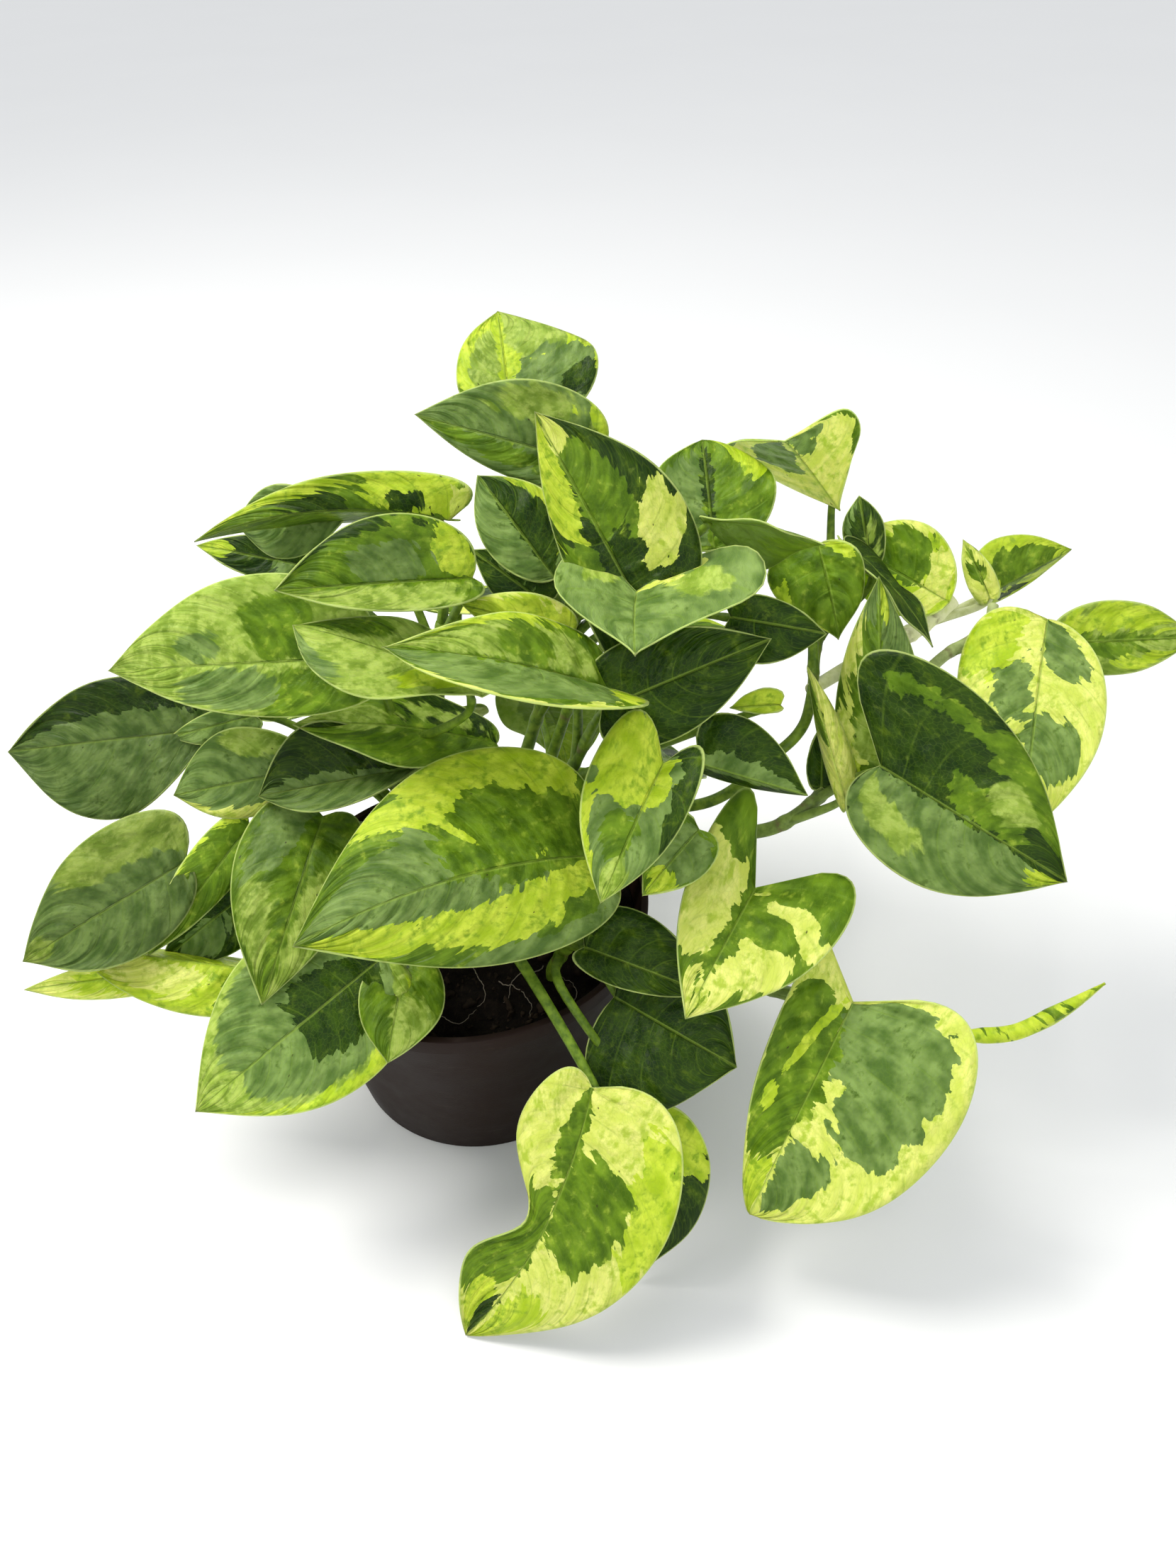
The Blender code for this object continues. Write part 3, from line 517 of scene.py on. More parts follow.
growShoot("vine_upper_right", rootedPath(30, 38, (60, 26, 118), (99, 2, 145), (122, 7, 162), (134, 13, 171),
          (139, 23, 179), (143, 42, 191), (150, 60, 198)), [
    leaf(0.97, (155, 83, 228), (127, 67, 265), (2.7, -9.4, -2), 36, 26, cream, [(grey, 42, 98, -58, -3),
         (grey, 78, 110, 2, 80), (grey, 60, 84, 2, 34), (green, 30, 90, 88, 110), (green, 60, 105, -110, -88)],
         peak=0.64, lobe=(0.27, 0.01), fold=(-50, 9), tipPower=0.8, arch=-0.14, glow=1.4),
    leaf(0.92, (168, 67, 206), (164, 92, 230), (-3, -7, 7), 9, 8, dark, [(grey, 55, 95, -100, -50),
         (mottle, 25, 60, 10, 70)], peak=0.55),
    leaf(0.9, (155, 69, 221), (186, 33, 195), (6, -1, 8), 12, 12, dark),
    leaf(0.85, (142, 58, 227), (151, 41, 194), (1.4, -8.6, 5), 15, 22, green, [(lime, 0, 26, -108, -50),
         (lime, 40, 95, 74, 108)], peak=(0.4, 0.36), fold=(24, -22), tipPower=1.4, arch=0.09),
], radius=2.6, tipRadius=2)
growShoot("vine_upper_right", [(139, 26, 181), (160, 45, 180), (187, 62, 184), (203, 70, 194)], [
    leaf(0.9, (200, 64, 196), (157, 84, 214), (-2, -9, 5), 16, 22, lime, [(cream, 2, 28, -100, 100),
         (cream, 50, 92, 74, 108), (green, 28, 70, -14, 84)], peak=0.5, glow=1.3),
    leaf(0.72, (219, 76, 192), (255, 88, 206), (0, -8, 7), 19, 13, lime, [(green, 15, 85, -65, 25),
         (dark, 25, 50, 45, 90)], fold=(8, -68)),
    leaf(0.8, (219, 71, 193), (209, 89, 211), (-4, -8, 6), 6, 6, cream, [(green, 30, 80, -50, 50)]),
], radius=2.6, tipRadius=3.8, rooted=False, pale=(0.8, 1.0))
growShoot("vine_crown", rootedPath(12, 30, (22, 36, 130), (38, 42, 180), (52, 46, 215)), [
    leaf(0.9, (25, 84, 260), (19, 134, 292), (0, -5, 8), 19, 37, lime, [(mottle, 60, 105, 5, 95),
         (grey, -10, 62, 4, 102), (dark, 28, 48, 66, 98), (lime, -10, 26, 82, 110), (green, -10, 40, -110, -75),
         (mottle, 30, 80, -70, -10)], peak=0.5, glow=0.2),
    leaf(0.98, (55, 66, 258), (-10, 74, 275), (0, -9, 4), 13, 24, grey, [(green, 25, 95, -70, -6),
         (mottle, 20, 62, 42, 95), (lime, 0, 22, 82, 108)]),
    leaf(0.95, (43, 64, 246), (23, 67, 258), (1, -9, 4), 8, 8, green, [(grey, 20, 90, -100, 0)]),
    leaf(0.75, (72, 18, 224), (35, 60, 281), (-2, -7, 7), 19, 32, dark, [(green, 34, 96, -14, 60),
         (lime, 44, 102, -108, -10), (cream, 80, 98, -15, 75), (cream, 20, 45, 36, 94, 35),
         (green, 30, 45, -100, -20)], peak=(0.25, 0.36), lobe=(0.45, 0.16)),
    leaf(0.6, (70, 15, 233), (68, -23, 231), (-6, 0, 8), 45, 33, grey, [(cream, -10, 13, -78, -4),
         (mottle, 14, 40, -74, -36), (mottle, 5, 26, 42, 70)], peak=(0.35, 0.33), lobe=0.8, fold=(-20, 54),
         tipPower=1.8, arch=0.03, glow=0.3),
    leaf(0.85, (102, 57, 226), (99, 92, 255), (-1, -6, 8), 23, 26, green, [(grey, 10, 85, -85, -8),
         (dark, 20, 90, -10, 12), (lime, 55, 95, 62, 108)], peak=0.5, tipPower=0.8),
    leaf(0.8, (95, 45, 245), (138, 28, 243), (0, -2, 10), 31, 3, grey, [(green, 50, 100, -100, -30)], peak=0.44,
         lobe=(0.1, 0.25), fold=(-60, 49), tipPower=1.5),
    leaf(0.92, (106, 29, 213), (142, 24, 208), (-1, -8, 6), 10, 16, dark),
    leaf(0.7, (41, 35, 227), (13, 58, 258), (0, -8, 6), 14, 17, grey, [(dark, 0, 100, -8, 75),
         (lime, 10, 90, 78, 108)], peak=0.5),
    leaf(0.65, (37, 33, 218), (10, 44, 235), (0, -8, 5), 10, 12, dark, [(grey, 30, 80, 10, 100)]),
])
growShoot("vine_middle", rootedPath(22, 2, (30, 6, 120), (44, 8, 155), (55, 6, 182)), [
    leaf(0.9, (57, -11, 201), (117, 0, 222), (-1, -8, 6), 19, 20, dark),
    leaf(0.98, (60, -9, 208), (-18, -10, 228), (2.3, -4.4, 8.7), 36, 20, green, [(grey, 5, 100, -90, -3),
         (cream, 20, 90, -110, -92), (mottle, 8, 95, 5, 80), (green, 28, 52, 10, 74), (lime, 30, 100, 84, 110),
         (lime, -10, 28, -110, -60)], peak=(0.57, 0.34), lobe=(1.05, 0.03), fold=(45, 21), tipPower=1.3,
         arch=0.07),
    leaf(0.8, (45, 12, 216), (7, 16, 229), (1, -8, 5), 8, 12, lime, [(green, 20, 50, -100, 0),
         (cream, 30, 90, 80, 108)]),
    leaf(0.7, (78, -31, 192), (55, -69, 162), (0, -6, 8), 15, 23, grey, [(lime, -10, 40, -42, 108),
         (dark, -10, 55, -110, -55), (green, 42, 74, -20, 50), (mottle, 72, 102, -100, 60),
         (lime, 40, 90, 80, 110)], peak=(0.36, 0.34), lobe=(0.35, 0.4)),
    leaf(0.5, (91, -37, 166), (70, -55, 151), (0, -7, 8), 12, 12, green, [(grey, 0, 62, -100, 100),
         (lime, 62, 92, -90, 40)]),
    leaf(0.6, (92, -14, 178), (132, -22, 168), (0, -8, 6), 21, 11, dark, [(grey, 0, 100, -30, 35)],
         peak=(0.3, 0.36), fold=(8, -70)),
    leaf(0.65, (125, 11, 185), (105, 7, 187), (2, -8, 6), 3, 7, lime),
])
growShoot("vine_upper_left", rootedPath(-12, 32, (-10, 38, 130), (-8, 42, 180), (-4, 42, 205)), [
    leaf(0.98, (1, 58, 240), (-98, 60, 232), (-1, -9, 5), 18, 14, green, [(lime, -5, 36, 10, 108),
         (cream, -5, 6, 10, 108), (lime, 30, 100, 62, 108), (dark, 12, 24, 5, 55), (dark, 38, 62, 2, 50)],
         peak=(0.4, 0.28), fold=(-78, 8), bow=0.07),
    leaf(0.85, (-37, 72, 237), (-85, 75, 231), (-1, -9, 4), 15, 14, grey, peak=0.6),
    leaf(0.75, (-65, 83, 208), (-108, 89, 215), (-1, -8, 6), 9, 9, dark, [(lime, 62, 105, -100, 100),
         (grey, 0, 30, -100, 0)]),
    leaf(0.9, (12, 20, 237), (-57, 12, 238), (1, -9, 5), 15, 24, green, [(lime, -5, 24, 15, 100),
         (grey, 25, 58, 5, 62), (mottle, 10, 85, -100, -12), (dark, 45, 95, 86, 108)], peak=(0.36, 0.42),
         fold=(50, 8)),
])
growShoot("vine_left", rootedPath(-28, 8, (-28, 12, 120), (-24, 10, 150), (-18, 6, 172)), [
    leaf(0.9, (-27, 8, 212), (-123, 10, 207), (0, -8, 5), 20, 32, mottle, [(green, 20, 46, 2, 78),
         (green, 0, 42, -108, -10), (grey, 36, 70, -90, -10), (grey, 55, 72, 5, 45)], peak=(0.36, 0.4)),
    leaf(0.98, (15, -11, 207), (-51, 5, 228), (2, -2, 9), 24, 18, mottle, [(grey, 72, 100, -108, -62),
         (green, 55, 95, 30, 102), (lime, 10, 40, -60, -10)], peak=(0.6, 0.36)),
    leaf(0.8, (17, 7, 172), (-58, 3, 186), (2, -2, 10), 18, 17, green, [(mottle, 55, 98, -20, 80),
         (dark, 0, 50, 15, 105), (mottle, 10, 50, 30, 70)], peak=0.45),
    leaf(0.7, (-10, 1, 167), (-72, -12, 164), (1, -8, 6), 18, 24, grey, [(dark, 0, 100, 15, 108)], peak=0.6,
         fold=(60, 8), glow=-1.1),
    leaf(0.6, (-49, 6, 164), (-108, -2, 157), (0, -8, 6), 14, 21, grey, [(mottle, 10, 62, 45, 108),
         (cream, 35, 105, -110, -66)], peak=0.55, glow=-0.8),
    leaf(0.65, (-75, 15, 182), (-110, 14, 173), (-1, -9, 5), 8, 6, grey),
    leaf(0.75, (-93, 16, 175), (-176, 17, 165), (-1, -8, 6), 31, 24, grey, [(dark, 15, 102, 45, 108)],
         peak=(0.5, 0.42), lobe=(0.02, 0.16), glow=-1.3),
])
growShoot("vine_low_left", rootedPath(-42, -15, (-56, -16, 106), (-70, -14, 122), (-84, -10, 132)), [
    leaf(0.98, (-103, -20, 139), (-164, -47, 114), (1, -8, 6), 22, 27, grey, [(mottle, 80, 105, -100, 100),
         (mottle, -5, 62, 40, 108)], peak=(0.45, 0.36), lobe=(0.16, 0.25), glow=-1.2),
    leaf(0.85, (-80, -7, 145), (-121, -40, 107), (2, -8, 5), 9, 12, green, [(lime, 0, 100, 85, 110)]),
    leaf(0.4, (-69, -42, 98), (-153, -34, 108), (0, -6, 8), 20, 16, lime, [(green, 0, 30, -100, 0),
         (cream, 40, 95, -80, -10)], peak=0.4, fold=(8, -74), over=(-61, -32, 109)),
    leaf(0.6, (-116, -41, 100), (-168, -48, 99), (1, -7, 7), 8, 7, cream, [(lime, 10, 60, -80, 60)]),
    leaf(0.7, (-85, -17, 118), (-120, -33, 96), (0, -8, 6), 16, 10, dark, [(grey, 30, 80, -80, 20)]),
])
growShoot("vine_back_left", rootedPath(-6, 52, (-10, 62, 108), (-14, 70, 136), (-16, 74, 150)), [
    leaf(0.9, (-28, 84, 165), (-66, 122, 138), (-3, 6, 7), 24, 25, green, [(lime, 10, 60, 20, 108),
         (dark, 20, 60, -70, -5)]),
    leaf(0.98, (-4, 92, 178), (2, 146, 158), (0, 5, 8), 27, 26, cream, [(green, 5, 50, -75, -5),
         (dark, 30, 80, 5, 70), (lime, 60, 102, -60, 40)]),
    leaf(0.75, (-45, 68, 150), (-112, 80, 128), (-3, 3, 9), 23, 22, mottle, [(grey, 20, 70, 10, 80),
         (dark, 10, 50, -80, -10)]),
    leaf(0.55, (-14, 88, 128), (-30, 124, 78), (-1, 8, 4), 22, 24, grey, [(lime, 35, 75, -100, -20),
         (cream, 10, 40, 40, 100)]),
    leaf(0.4, (-50, 62, 118), (-92, 92, 76), (-6, 5, 5), 20, 21, dark, [(lime, 40, 90, 10, 80),
         (mottle, 10, 50, -90, -30)]),
])
growShoot("vine_back_right", rootedPath(24, 54, (32, 64, 108), (42, 72, 136), (48, 76, 150)), [
    leaf(0.98, (48, 98, 176), (74, 146, 158), (2, 5, 8), 27, 26, dark, [(cream, 30, 70, 20, 100, 30),
         (lime, 10, 60, -105, -50), (grey, 60, 95, -50, 20)]),
    leaf(0.85, (74, 88, 160), (128, 116, 148), (4, 3, 8), 23, 24, lime, [(dark, 15, 60, 5, 75),
         (green, 30, 90, -70, -5)]),
    leaf(0.55, (30, 94, 132), (42, 120, 68), (1, 8, 4), 26, 26, mottle, [(dark, 10, 50, -60, 30),
         (lime, 60, 100, -60, 60)]),
    leaf(0.45, (72, 62, 118), (108, 98, 82), (6, 5, 5), 20, 21, grey, [(lime, 5, 45, 20, 105),
         (dark, 50, 90, -70, 0)]),
])

bladeSettings = {
    "thickness": 0.0006,
    "rowLength": 0.0017,     # metres between rows of faces along the blade
    "columnWidth": 0.0019,
    "grooveDepth": 0.00045,  # the midrib lies in a groove
    "grooveWidth": 0.0008,
    "quiltHeight": 0.0007,   # the blade swells between its side veins, here more, there less
    "veinSpacing": 0.009,
    "ripple": 0.0009,
    "edgeWave": 0.0015,
    "rimCurl": 0.0012,       # the blade curls up or down from rimFrom out, as a share of its half width
    "rimFrom": 0.82,
    "lobePull": 1.7,         # how far a lobe of 1 reaches back past the stalk
    "smallHalf": 0.012,      # a blade narrower than this has less relief
    "zoneDepth": 8.0,        # mm, the most that a zone counts
    "leafShift": 5,          # cm from leaf to leaf in the noise that colours them, and from half to half
    "halfShift": 2.0,
}


def selectOnly(*pieces):
    for item in bpy.context.selected_objects:
        item.select_set(False)
    for piece in pieces:
        piece.select_set(True)
    if pieces:
        bpy.context.view_layer.objects.active = pieces[0]


def cover(piece, *materials):
    piece.data.materials.clear()
    for material in materials:
        piece.data.materials.append(material)


def thicken(piece, thickness, offset, step=0):
    # step: how far on in the list of materials the far side's one is
    wall = piece.modifiers.new("thickness", "SOLIDIFY")
    wall.thickness, wall.offset, wall.material_offset = thickness, offset, step
    bpy.ops.object.modifier_apply(modifier=wall.name)


def newGrid(name, rows, columns):
    # a flat grid whose vertices are then put in place by a formula of (u, v), both from 0 to 1
    selectOnly()
    bpy.ops.mesh.primitive_grid_add(x_subdivisions=rows, y_subdivisions=columns, size=2)
    item = bpy.context.object
    item.name = name
    flat = np.zeros(len(item.data.vertices) * 3)
    item.data.vertices.foreach_get("co", flat)
    flat = flat.reshape(-1, 3)
    return item, (flat[:, 0] + 1) / 2, (flat[:, 1] + 1) / 2


def placeVertices(item, points):
    item.data.vertices.foreach_set("co", points.astype(np.float32).ravel())
    item.data.update()


def storeAttribute(item, name, x, y, z):
    count = len(item.data.vertices)
    values = np.stack([np.broadcast_to(part, count) for part in (x, y, z)], axis=1)
    attribute = item.data.attributes.new(name, "FLOAT_VECTOR", "POINT")
    attribute.data.foreach_set("vector", values.astype(np.float32).ravel())


def mergeDoubles(item):
    selectOnly(item)
    bpy.ops.object.mode_set(mode="EDIT")
    bpy.ops.mesh.select_all(action="SELECT")
    bpy.ops.mesh.remove_doubles(threshold=0.00001)
    bpy.ops.object.mode_set(mode="OBJECT")


def joinPieces(name, pieces):
    selectOnly(*pieces)
    if len(pieces) > 1:
        bpy.ops.object.join()
    joined = bpy.context.view_layer.objects.active
    joined.name = name
    joined.data.name = name
    bpy.ops.object.shade_smooth()
    return joined


def bladeAxes(blade):
    base = np.array(blade["base"])
    run = np.array(blade["tip"]) - base
    length = np.linalg.norm(run)
    ahead = run / length
    face = np.array(blade["face"], float)
    up = face - face @ ahead * ahead
    up /= np.linalg.norm(up)
    return base, length, ahead, np.cross(ahead, up), up


def outlineShare(s, peak, tipPower):
    # half width at a share of the length, as a share of the widest, which is at peak
    basePower = tipPower * peak / (1 - peak)
    widest = peak ** basePower * (1 - peak) ** tipPower
    return np.maximum(s, 0) ** basePower * np.maximum(1 - s, 0) ** tipPower / widest


def bySide(blade, key, default, t):
    value = blade.get(key, default)
    left, right = value if isinstance(value, tuple) else (value, value)
    return np.where(t > 0, right, left)


def bladePoints(blade, s, t):
    # points of the blade at shares s of its length and t of its half width, from -1 to 1
    shape = bladeSettings
    base, length, ahead, across, up = bladeAxes(blade)
    s, t = np.atleast_1d(np.asarray(s, float)), np.atleast_1d(np.asarray(t, float))
    reach, sign = np.abs(t), np.where(t > 0, 1.0, -1.0)
    share = outlineShare(s, bySide(blade, "peak", 0.36, t), blade.get("tipPower", 1.1))
    half = np.where(t > 0, blade["right"], blade["left"]) * share
    if "notch" in blade:
        at, depth, span = blade["notch"]
        half = np.where(t > 0, half * (1 - depth * np.exp(-((s - at) / span) ** 2)), half)
    fold = np.radians(bySide(blade, "fold", 8, t))
    lobe = bySide(blade, "lobe", 0.16, t)
    x = length * (s - shape["lobePull"] * lobe * share * (1 - s) ** 3 * reach ** 1.3)
    y = sign * half * reach * np.cos(fold)
    z = half * (reach * np.sin(fold) - blade.get("camber", 0.12) * reach ** 2)
    z += shape["edgeWave"] * reach ** 2 * np.sin(4 * np.pi * s + 1.3 * sign) * np.minimum(1, share)
    z += blade.get("arch", 0.06) * length * 4 * s * (1 - s)
    y += blade.get("bow", 0) * length * 4 * s * (1 - s)
    out = half * reach
    veinStart = veinOrigin(s, t) * length
    fade = np.clip(half / shape["smallHalf"], 0, 1)
    z -= shape["grooveDepth"] * np.exp(-(out / shape["grooveWidth"]) ** 2) * fade * (1 - s)
    seed = sum(blade["base"]) * 900
    swell = np.minimum(1, reach * 4) * (1 - reach ** 4) * (0.6 + 0.6 * np.sin(7 * s + 3 * t + seed))
    z -= shape["quiltHeight"] * np.cos(2 * np.pi * veinStart / shape["veinSpacing"]) * swell * fade
    z += shape["ripple"] * reach * np.sin(9 * s + seed) * np.cos(5 * t + 1.7 * seed) * fade
    curled = np.clip((reach - shape["rimFrom"]) / (1 - shape["rimFrom"]), 0, 1) ** 2
    curl = curled * (0.4 + np.sin(5 * s + 2 * sign + 1.3 * seed))
    z += shape["rimCurl"] * curl * fade
    points = base + np.outer(x, ahead) + np.outer(y, across) + np.outer(z, up)
    return points, out, half * (1 - reach), veinStart


def veinOrigin(s, t):
    # where on the midrib the side vein through (s, t) starts, as a share of the length
    return s - np.abs(t) ** 1.25 * (0.12 + 0.30 * s)


def zoneFields(blade, s, t):
    # how far inside each colour's zone each point lies, in millimetres
    kinds = leafColours["kinds"]
    length, width = bladeAxes(blade)[1], (blade["left"] + blade["right"]) / 2
    most = bladeSettings["zoneDepth"]
    fields = np.full((len(kinds), len(s)), -most)
    fields[kinds.index(blade["ground"])] = most
    for kind, sFrom, sTo, tFrom, tTo, *lean in blade["marks"]:
        sMid, sHalf, tMid, tHalf = (sFrom + sTo) / 2, (sTo - sFrom) / 2, (tFrom + tTo) / 2, (tTo - tFrom) / 2
        slope = lean[0] if lean else 0.12
        alongShare = np.abs(s - sMid - slope * (np.abs(t) - abs(tMid))) / sHalf
        acrossShare = np.abs(t - tMid) / tHalf
        reach = (alongShare ** 3 + acrossShare ** 3) ** (1 / 3)
        depth = np.clip((1 - reach) * 1000 * min(sHalf * length, tHalf * width), -most, most)
        for number, other in enumerate(kinds):
            if other == kind:
                fields[number] = np.maximum(fields[number], depth)
            else:
                fields[number] = np.minimum(fields[number], -depth)
    return fields


def makeBlade(name, blade, number, materials):
    length, width = bladeAxes(blade)[1], blade["left"] + blade["right"]
    rows = max(12, round(length / bladeSettings["rowLength"]))
    columns = max(8, 2 * round(width / bladeSettings["columnWidth"] / 2))
    item, u, v = newGrid(name, rows, columns)
    s = 0.55 * u + 0.45 * (1 - np.cos(np.pi * u)) / 2
    side = 1 - 2 * v
    t = side * (0.45 + 0.55 * np.abs(side))
    points, out, inside, veinStart = bladePoints(blade, s, t)
    placeVertices(item, points)
    fields = zoneFields(blade, s, t)
    storeAttribute(item, "zonesA", *fields[:3])
    storeAttribute(item, "zonesB", *fields[3:])
    shift = number * bladeSettings["leafShift"]
    half = np.where(t > 0, bladeSettings["halfShift"], 0.0)
    storeAttribute(item, "veinPlace", veinStart * 100, out * 100, shift + half)
    storeAttribute(item, "bladePlace", s * length * 100, np.sign(t) * out * 100, shift)
    # the last value is a random tone plus the leaf's painted light where it is above 0, and painted shade where
    # it is below 0
    storeAttribute(item, "leafEdge", inside * 1000, out * 1000, random.random() + blade.get("glow", 0))
    mergeDoubles(item)
    cover(item, *materials)
    thicken(item, bladeSettings["thickness"], 0, 1)
    return item


stemSettings = {
    "steps": 14, "sides": 16, "up": (0.1, -0.2, 1),
    "partSteps": 3,         # as in the part, for the places where the stalks start
    "nodeSwell": 0.16, "nodeWidth": 0.0016,
    # leaf stalks, with a pair of low wings from the foot up
    "stalkRadius": 0.0018, "stalkTipRadius": 0.0014, "stalkPoints": 26,
    "wing": 0.35, "wingTurn": 0.785, "wingWidth": 0.25, "wingEnd": 0.72,
    "kneeSwell": 0.22, "footSwell": 0.12, "stalkPale": 0.8,
    "overSteps": 9, "overBack": 0.006, "overDown": 0.003,   # stalks that leave over the rim
    "meets": 0.07,          # the share of the blade's length where the stalk meets it, and how far under it
    "under": 0.0012,
    "bend": 0.35, "longestBend": 0.016,
}


def smoothPath(points, steps, rooted):
    # a smooth curve through the points; a rooted stem runs straight up through the first two
    knots = [Vector(point) for point in points]
    path = []
    if rooted:
        path.append(knots.pop(0))
        before = Vector((knots[0].x, knots[0].y, 2 * knots[0].z - knots[1].z))
    else:
        before = 2 * knots[0] - knots[1]
    knots = [before, *knots, 2 * knots[-1] - knots[-2]]
    for a, b, c, d in zip(knots, knots[1:], knots[2:], knots[3:]):
        for k in range(steps):
            t = k / steps
            path.append(0.5 * (2 * b + (c - a) * t + (2 * a - 5 * b + 4 * c - d) * t ** 2
                               + (3 * b - a - 3 * c + d) * t ** 3))
    path.append(knots[-2])
    return path


def asArray(path):
    return np.array([tuple(point) for point in path])


def lengthsAlong(points):
    return np.concatenate([[0], np.cumsum(np.linalg.norm(np.diff(points, axis=0), axis=1))])


def directions(points):
    tangents = np.gradient(points, axis=0)
    return tangents / np.linalg.norm(tangents, axis=1)[:, None]


def roundPath(middles, radius, turn, first, second):
    # places at a radius and a turn from first to second, about each middle
    return middles + (radius * np.cos(turn))[:, None] * first + (radius * np.sin(turn))[:, None] * second


def alongPath(path, share):
    lengths = [(b - a).length for a, b in zip(path, path[1:])]
    left = share * sum(lengths)
    for a, b, length in zip(path, path[1:], lengths):
        if left <= length:
            return a.lerp(b, left / length), (b - a).normalized()
        left -= length
    return path[-1], (path[-1] - path[-2]).normalized()


def sweepTube(name, path, radii, sides, upEnd, pale=0.0, scars=None, wings=None):
    # a round stalk along a path; its groove and wings face upEnd at the far end
    points = asArray(path)
    radii, pale = np.asarray(radii, float), np.broadcast_to(pale, len(points))
    tangents = directions(points)
    normals = np.zeros_like(points)
    normal = np.array(upEnd, float)
    for k in range(len(points) - 1, -1, -1):
        normal = normal - normal @ tangents[k] * tangents[k]
        normal /= np.linalg.norm(normal)
        normals[k] = normal
    sideways = np.cross(tangents, normals)
    # the end rings close to a point
    ring = np.concatenate([[0], np.arange(len(points)), [len(points) - 1]])
    wide = np.concatenate([[0], np.ones(len(points)), [0]])
    item, u, v = newGrid(name, len(ring) - 1, sides)
    row = np.rint(u * (len(ring) - 1)).astype(int)
    turn = -2 * np.pi * v
    k = ring[row]
    radius = radii[k] * wide[row]
    if wings is not None:
        angle = np.abs((turn + np.pi) % (2 * np.pi) - np.pi)
        wing = np.exp(-((angle - stemSettings["wingTurn"]) / stemSettings["wingWidth"]) ** 2)
        radius = radius * (1 + wings[k] * wing)
    placeVertices(item, roundPath(points[k], radius, turn, normals[k], sideways[k]))
    scar = 0 if scars is None else scars[k]
    storeAttribute(item, "stemPlace", lengthsAlong(points)[k] * 1000, pale[k], scar)
    mergeDoubles(item)
    return item


def petiolePath(blade, start, heading):
    # the leaf stalk's curve, from its stem into the underside of the blade's base
    stalk = stemSettings
    base, _, ahead, _, up = (Vector(part) if np.ndim(part) else part for part in bladeAxes(blade))
    reach, bend = (base - start).length, stalk["bend"]
    end = Vector(bladePoints(blade, stalk["meets"], 0.0)[0][0]) - up * stalk["under"]
    if "over" in blade:
        before = end - ahead * stalk["overBack"] - up * stalk["overDown"]
        return smoothPath([start, blade["over"], before, end], stalk["overSteps"], False)
    leave = ((base - start).normalized() * 0.8 + heading * 0.6).normalized()
    arrive = (ahead * -0.5 - up * 0.8).normalized()
    arriving = end + arrive * min(reach * bend, stalk["longestBend"])
    return interpolate_bezier(start, start + leave * reach * bend, arriving, end, stalk["stalkPoints"])


def makePetiole(name, blade, start, heading, pale):
    stalk = stemSettings
    path = petiolePath(blade, start, heading)
    share = np.linspace(0, 1, len(path))
    foot = blade.get("stalk", stalk["stalkRadius"])
    radii = foot + (stalk["stalkTipRadius"] - foot) * share
    knee = stalk["kneeSwell"] * np.exp(-((share - 0.90) / 0.05) ** 2)
    radii *= 1 + knee + stalk["footSwell"] * np.exp(-(share / 0.08) ** 2)
    wings = stalk["wing"] * np.clip((stalk["wingEnd"] - share) / 0.5, 0, 1)
    return sweepTube(name, path, radii, stalk["sides"], bladeAxes(blade)[4], pale, None, wings)


def paleness(shoot, share):
    first, last = shoot["pale"]
    return first + (last - first) * share ** 2


def makeStem(name, shoot):
    path = smoothPath(shoot["path"], stemSettings["steps"], shoot["rooted"])
    if shoot["rooted"]:
        path = [path[0].lerp(path[1], k / 6) for k in range(6)] + path[1:]
    length = lengthsAlong(asArray(path))
    share = length / length[-1]
    radii = shoot["radius"] + (shoot["tipRadius"] - shoot["radius"]) * share
    scars = np.zeros(len(path))
    for blade in shoot["leaves"]:
        gap = (length - blade["at"] * length[-1]) / stemSettings["nodeWidth"]
        radii *= 1 + stemSettings["nodeSwell"] * np.exp(-gap ** 2)
        scars = np.maximum(scars, np.exp(-((gap + 1.6) / 0.55) ** 2))
    pale = paleness(shoot, share)
    return sweepTube(name, path, radii, stemSettings["sides"], stemSettings["up"], pale, scars)


furledSettings = {
    "path": [(186, -78, 98), (205, -80, 102), (222, -76, 110), (237, -71, 118)],
    "radius": 0.0034, "turns": 1.75, "columns": 40, "thickness": 0.0005,
    "long": 5.0, "broad": 1.6,      # cm, unrolled
    "number": 400.0,
}


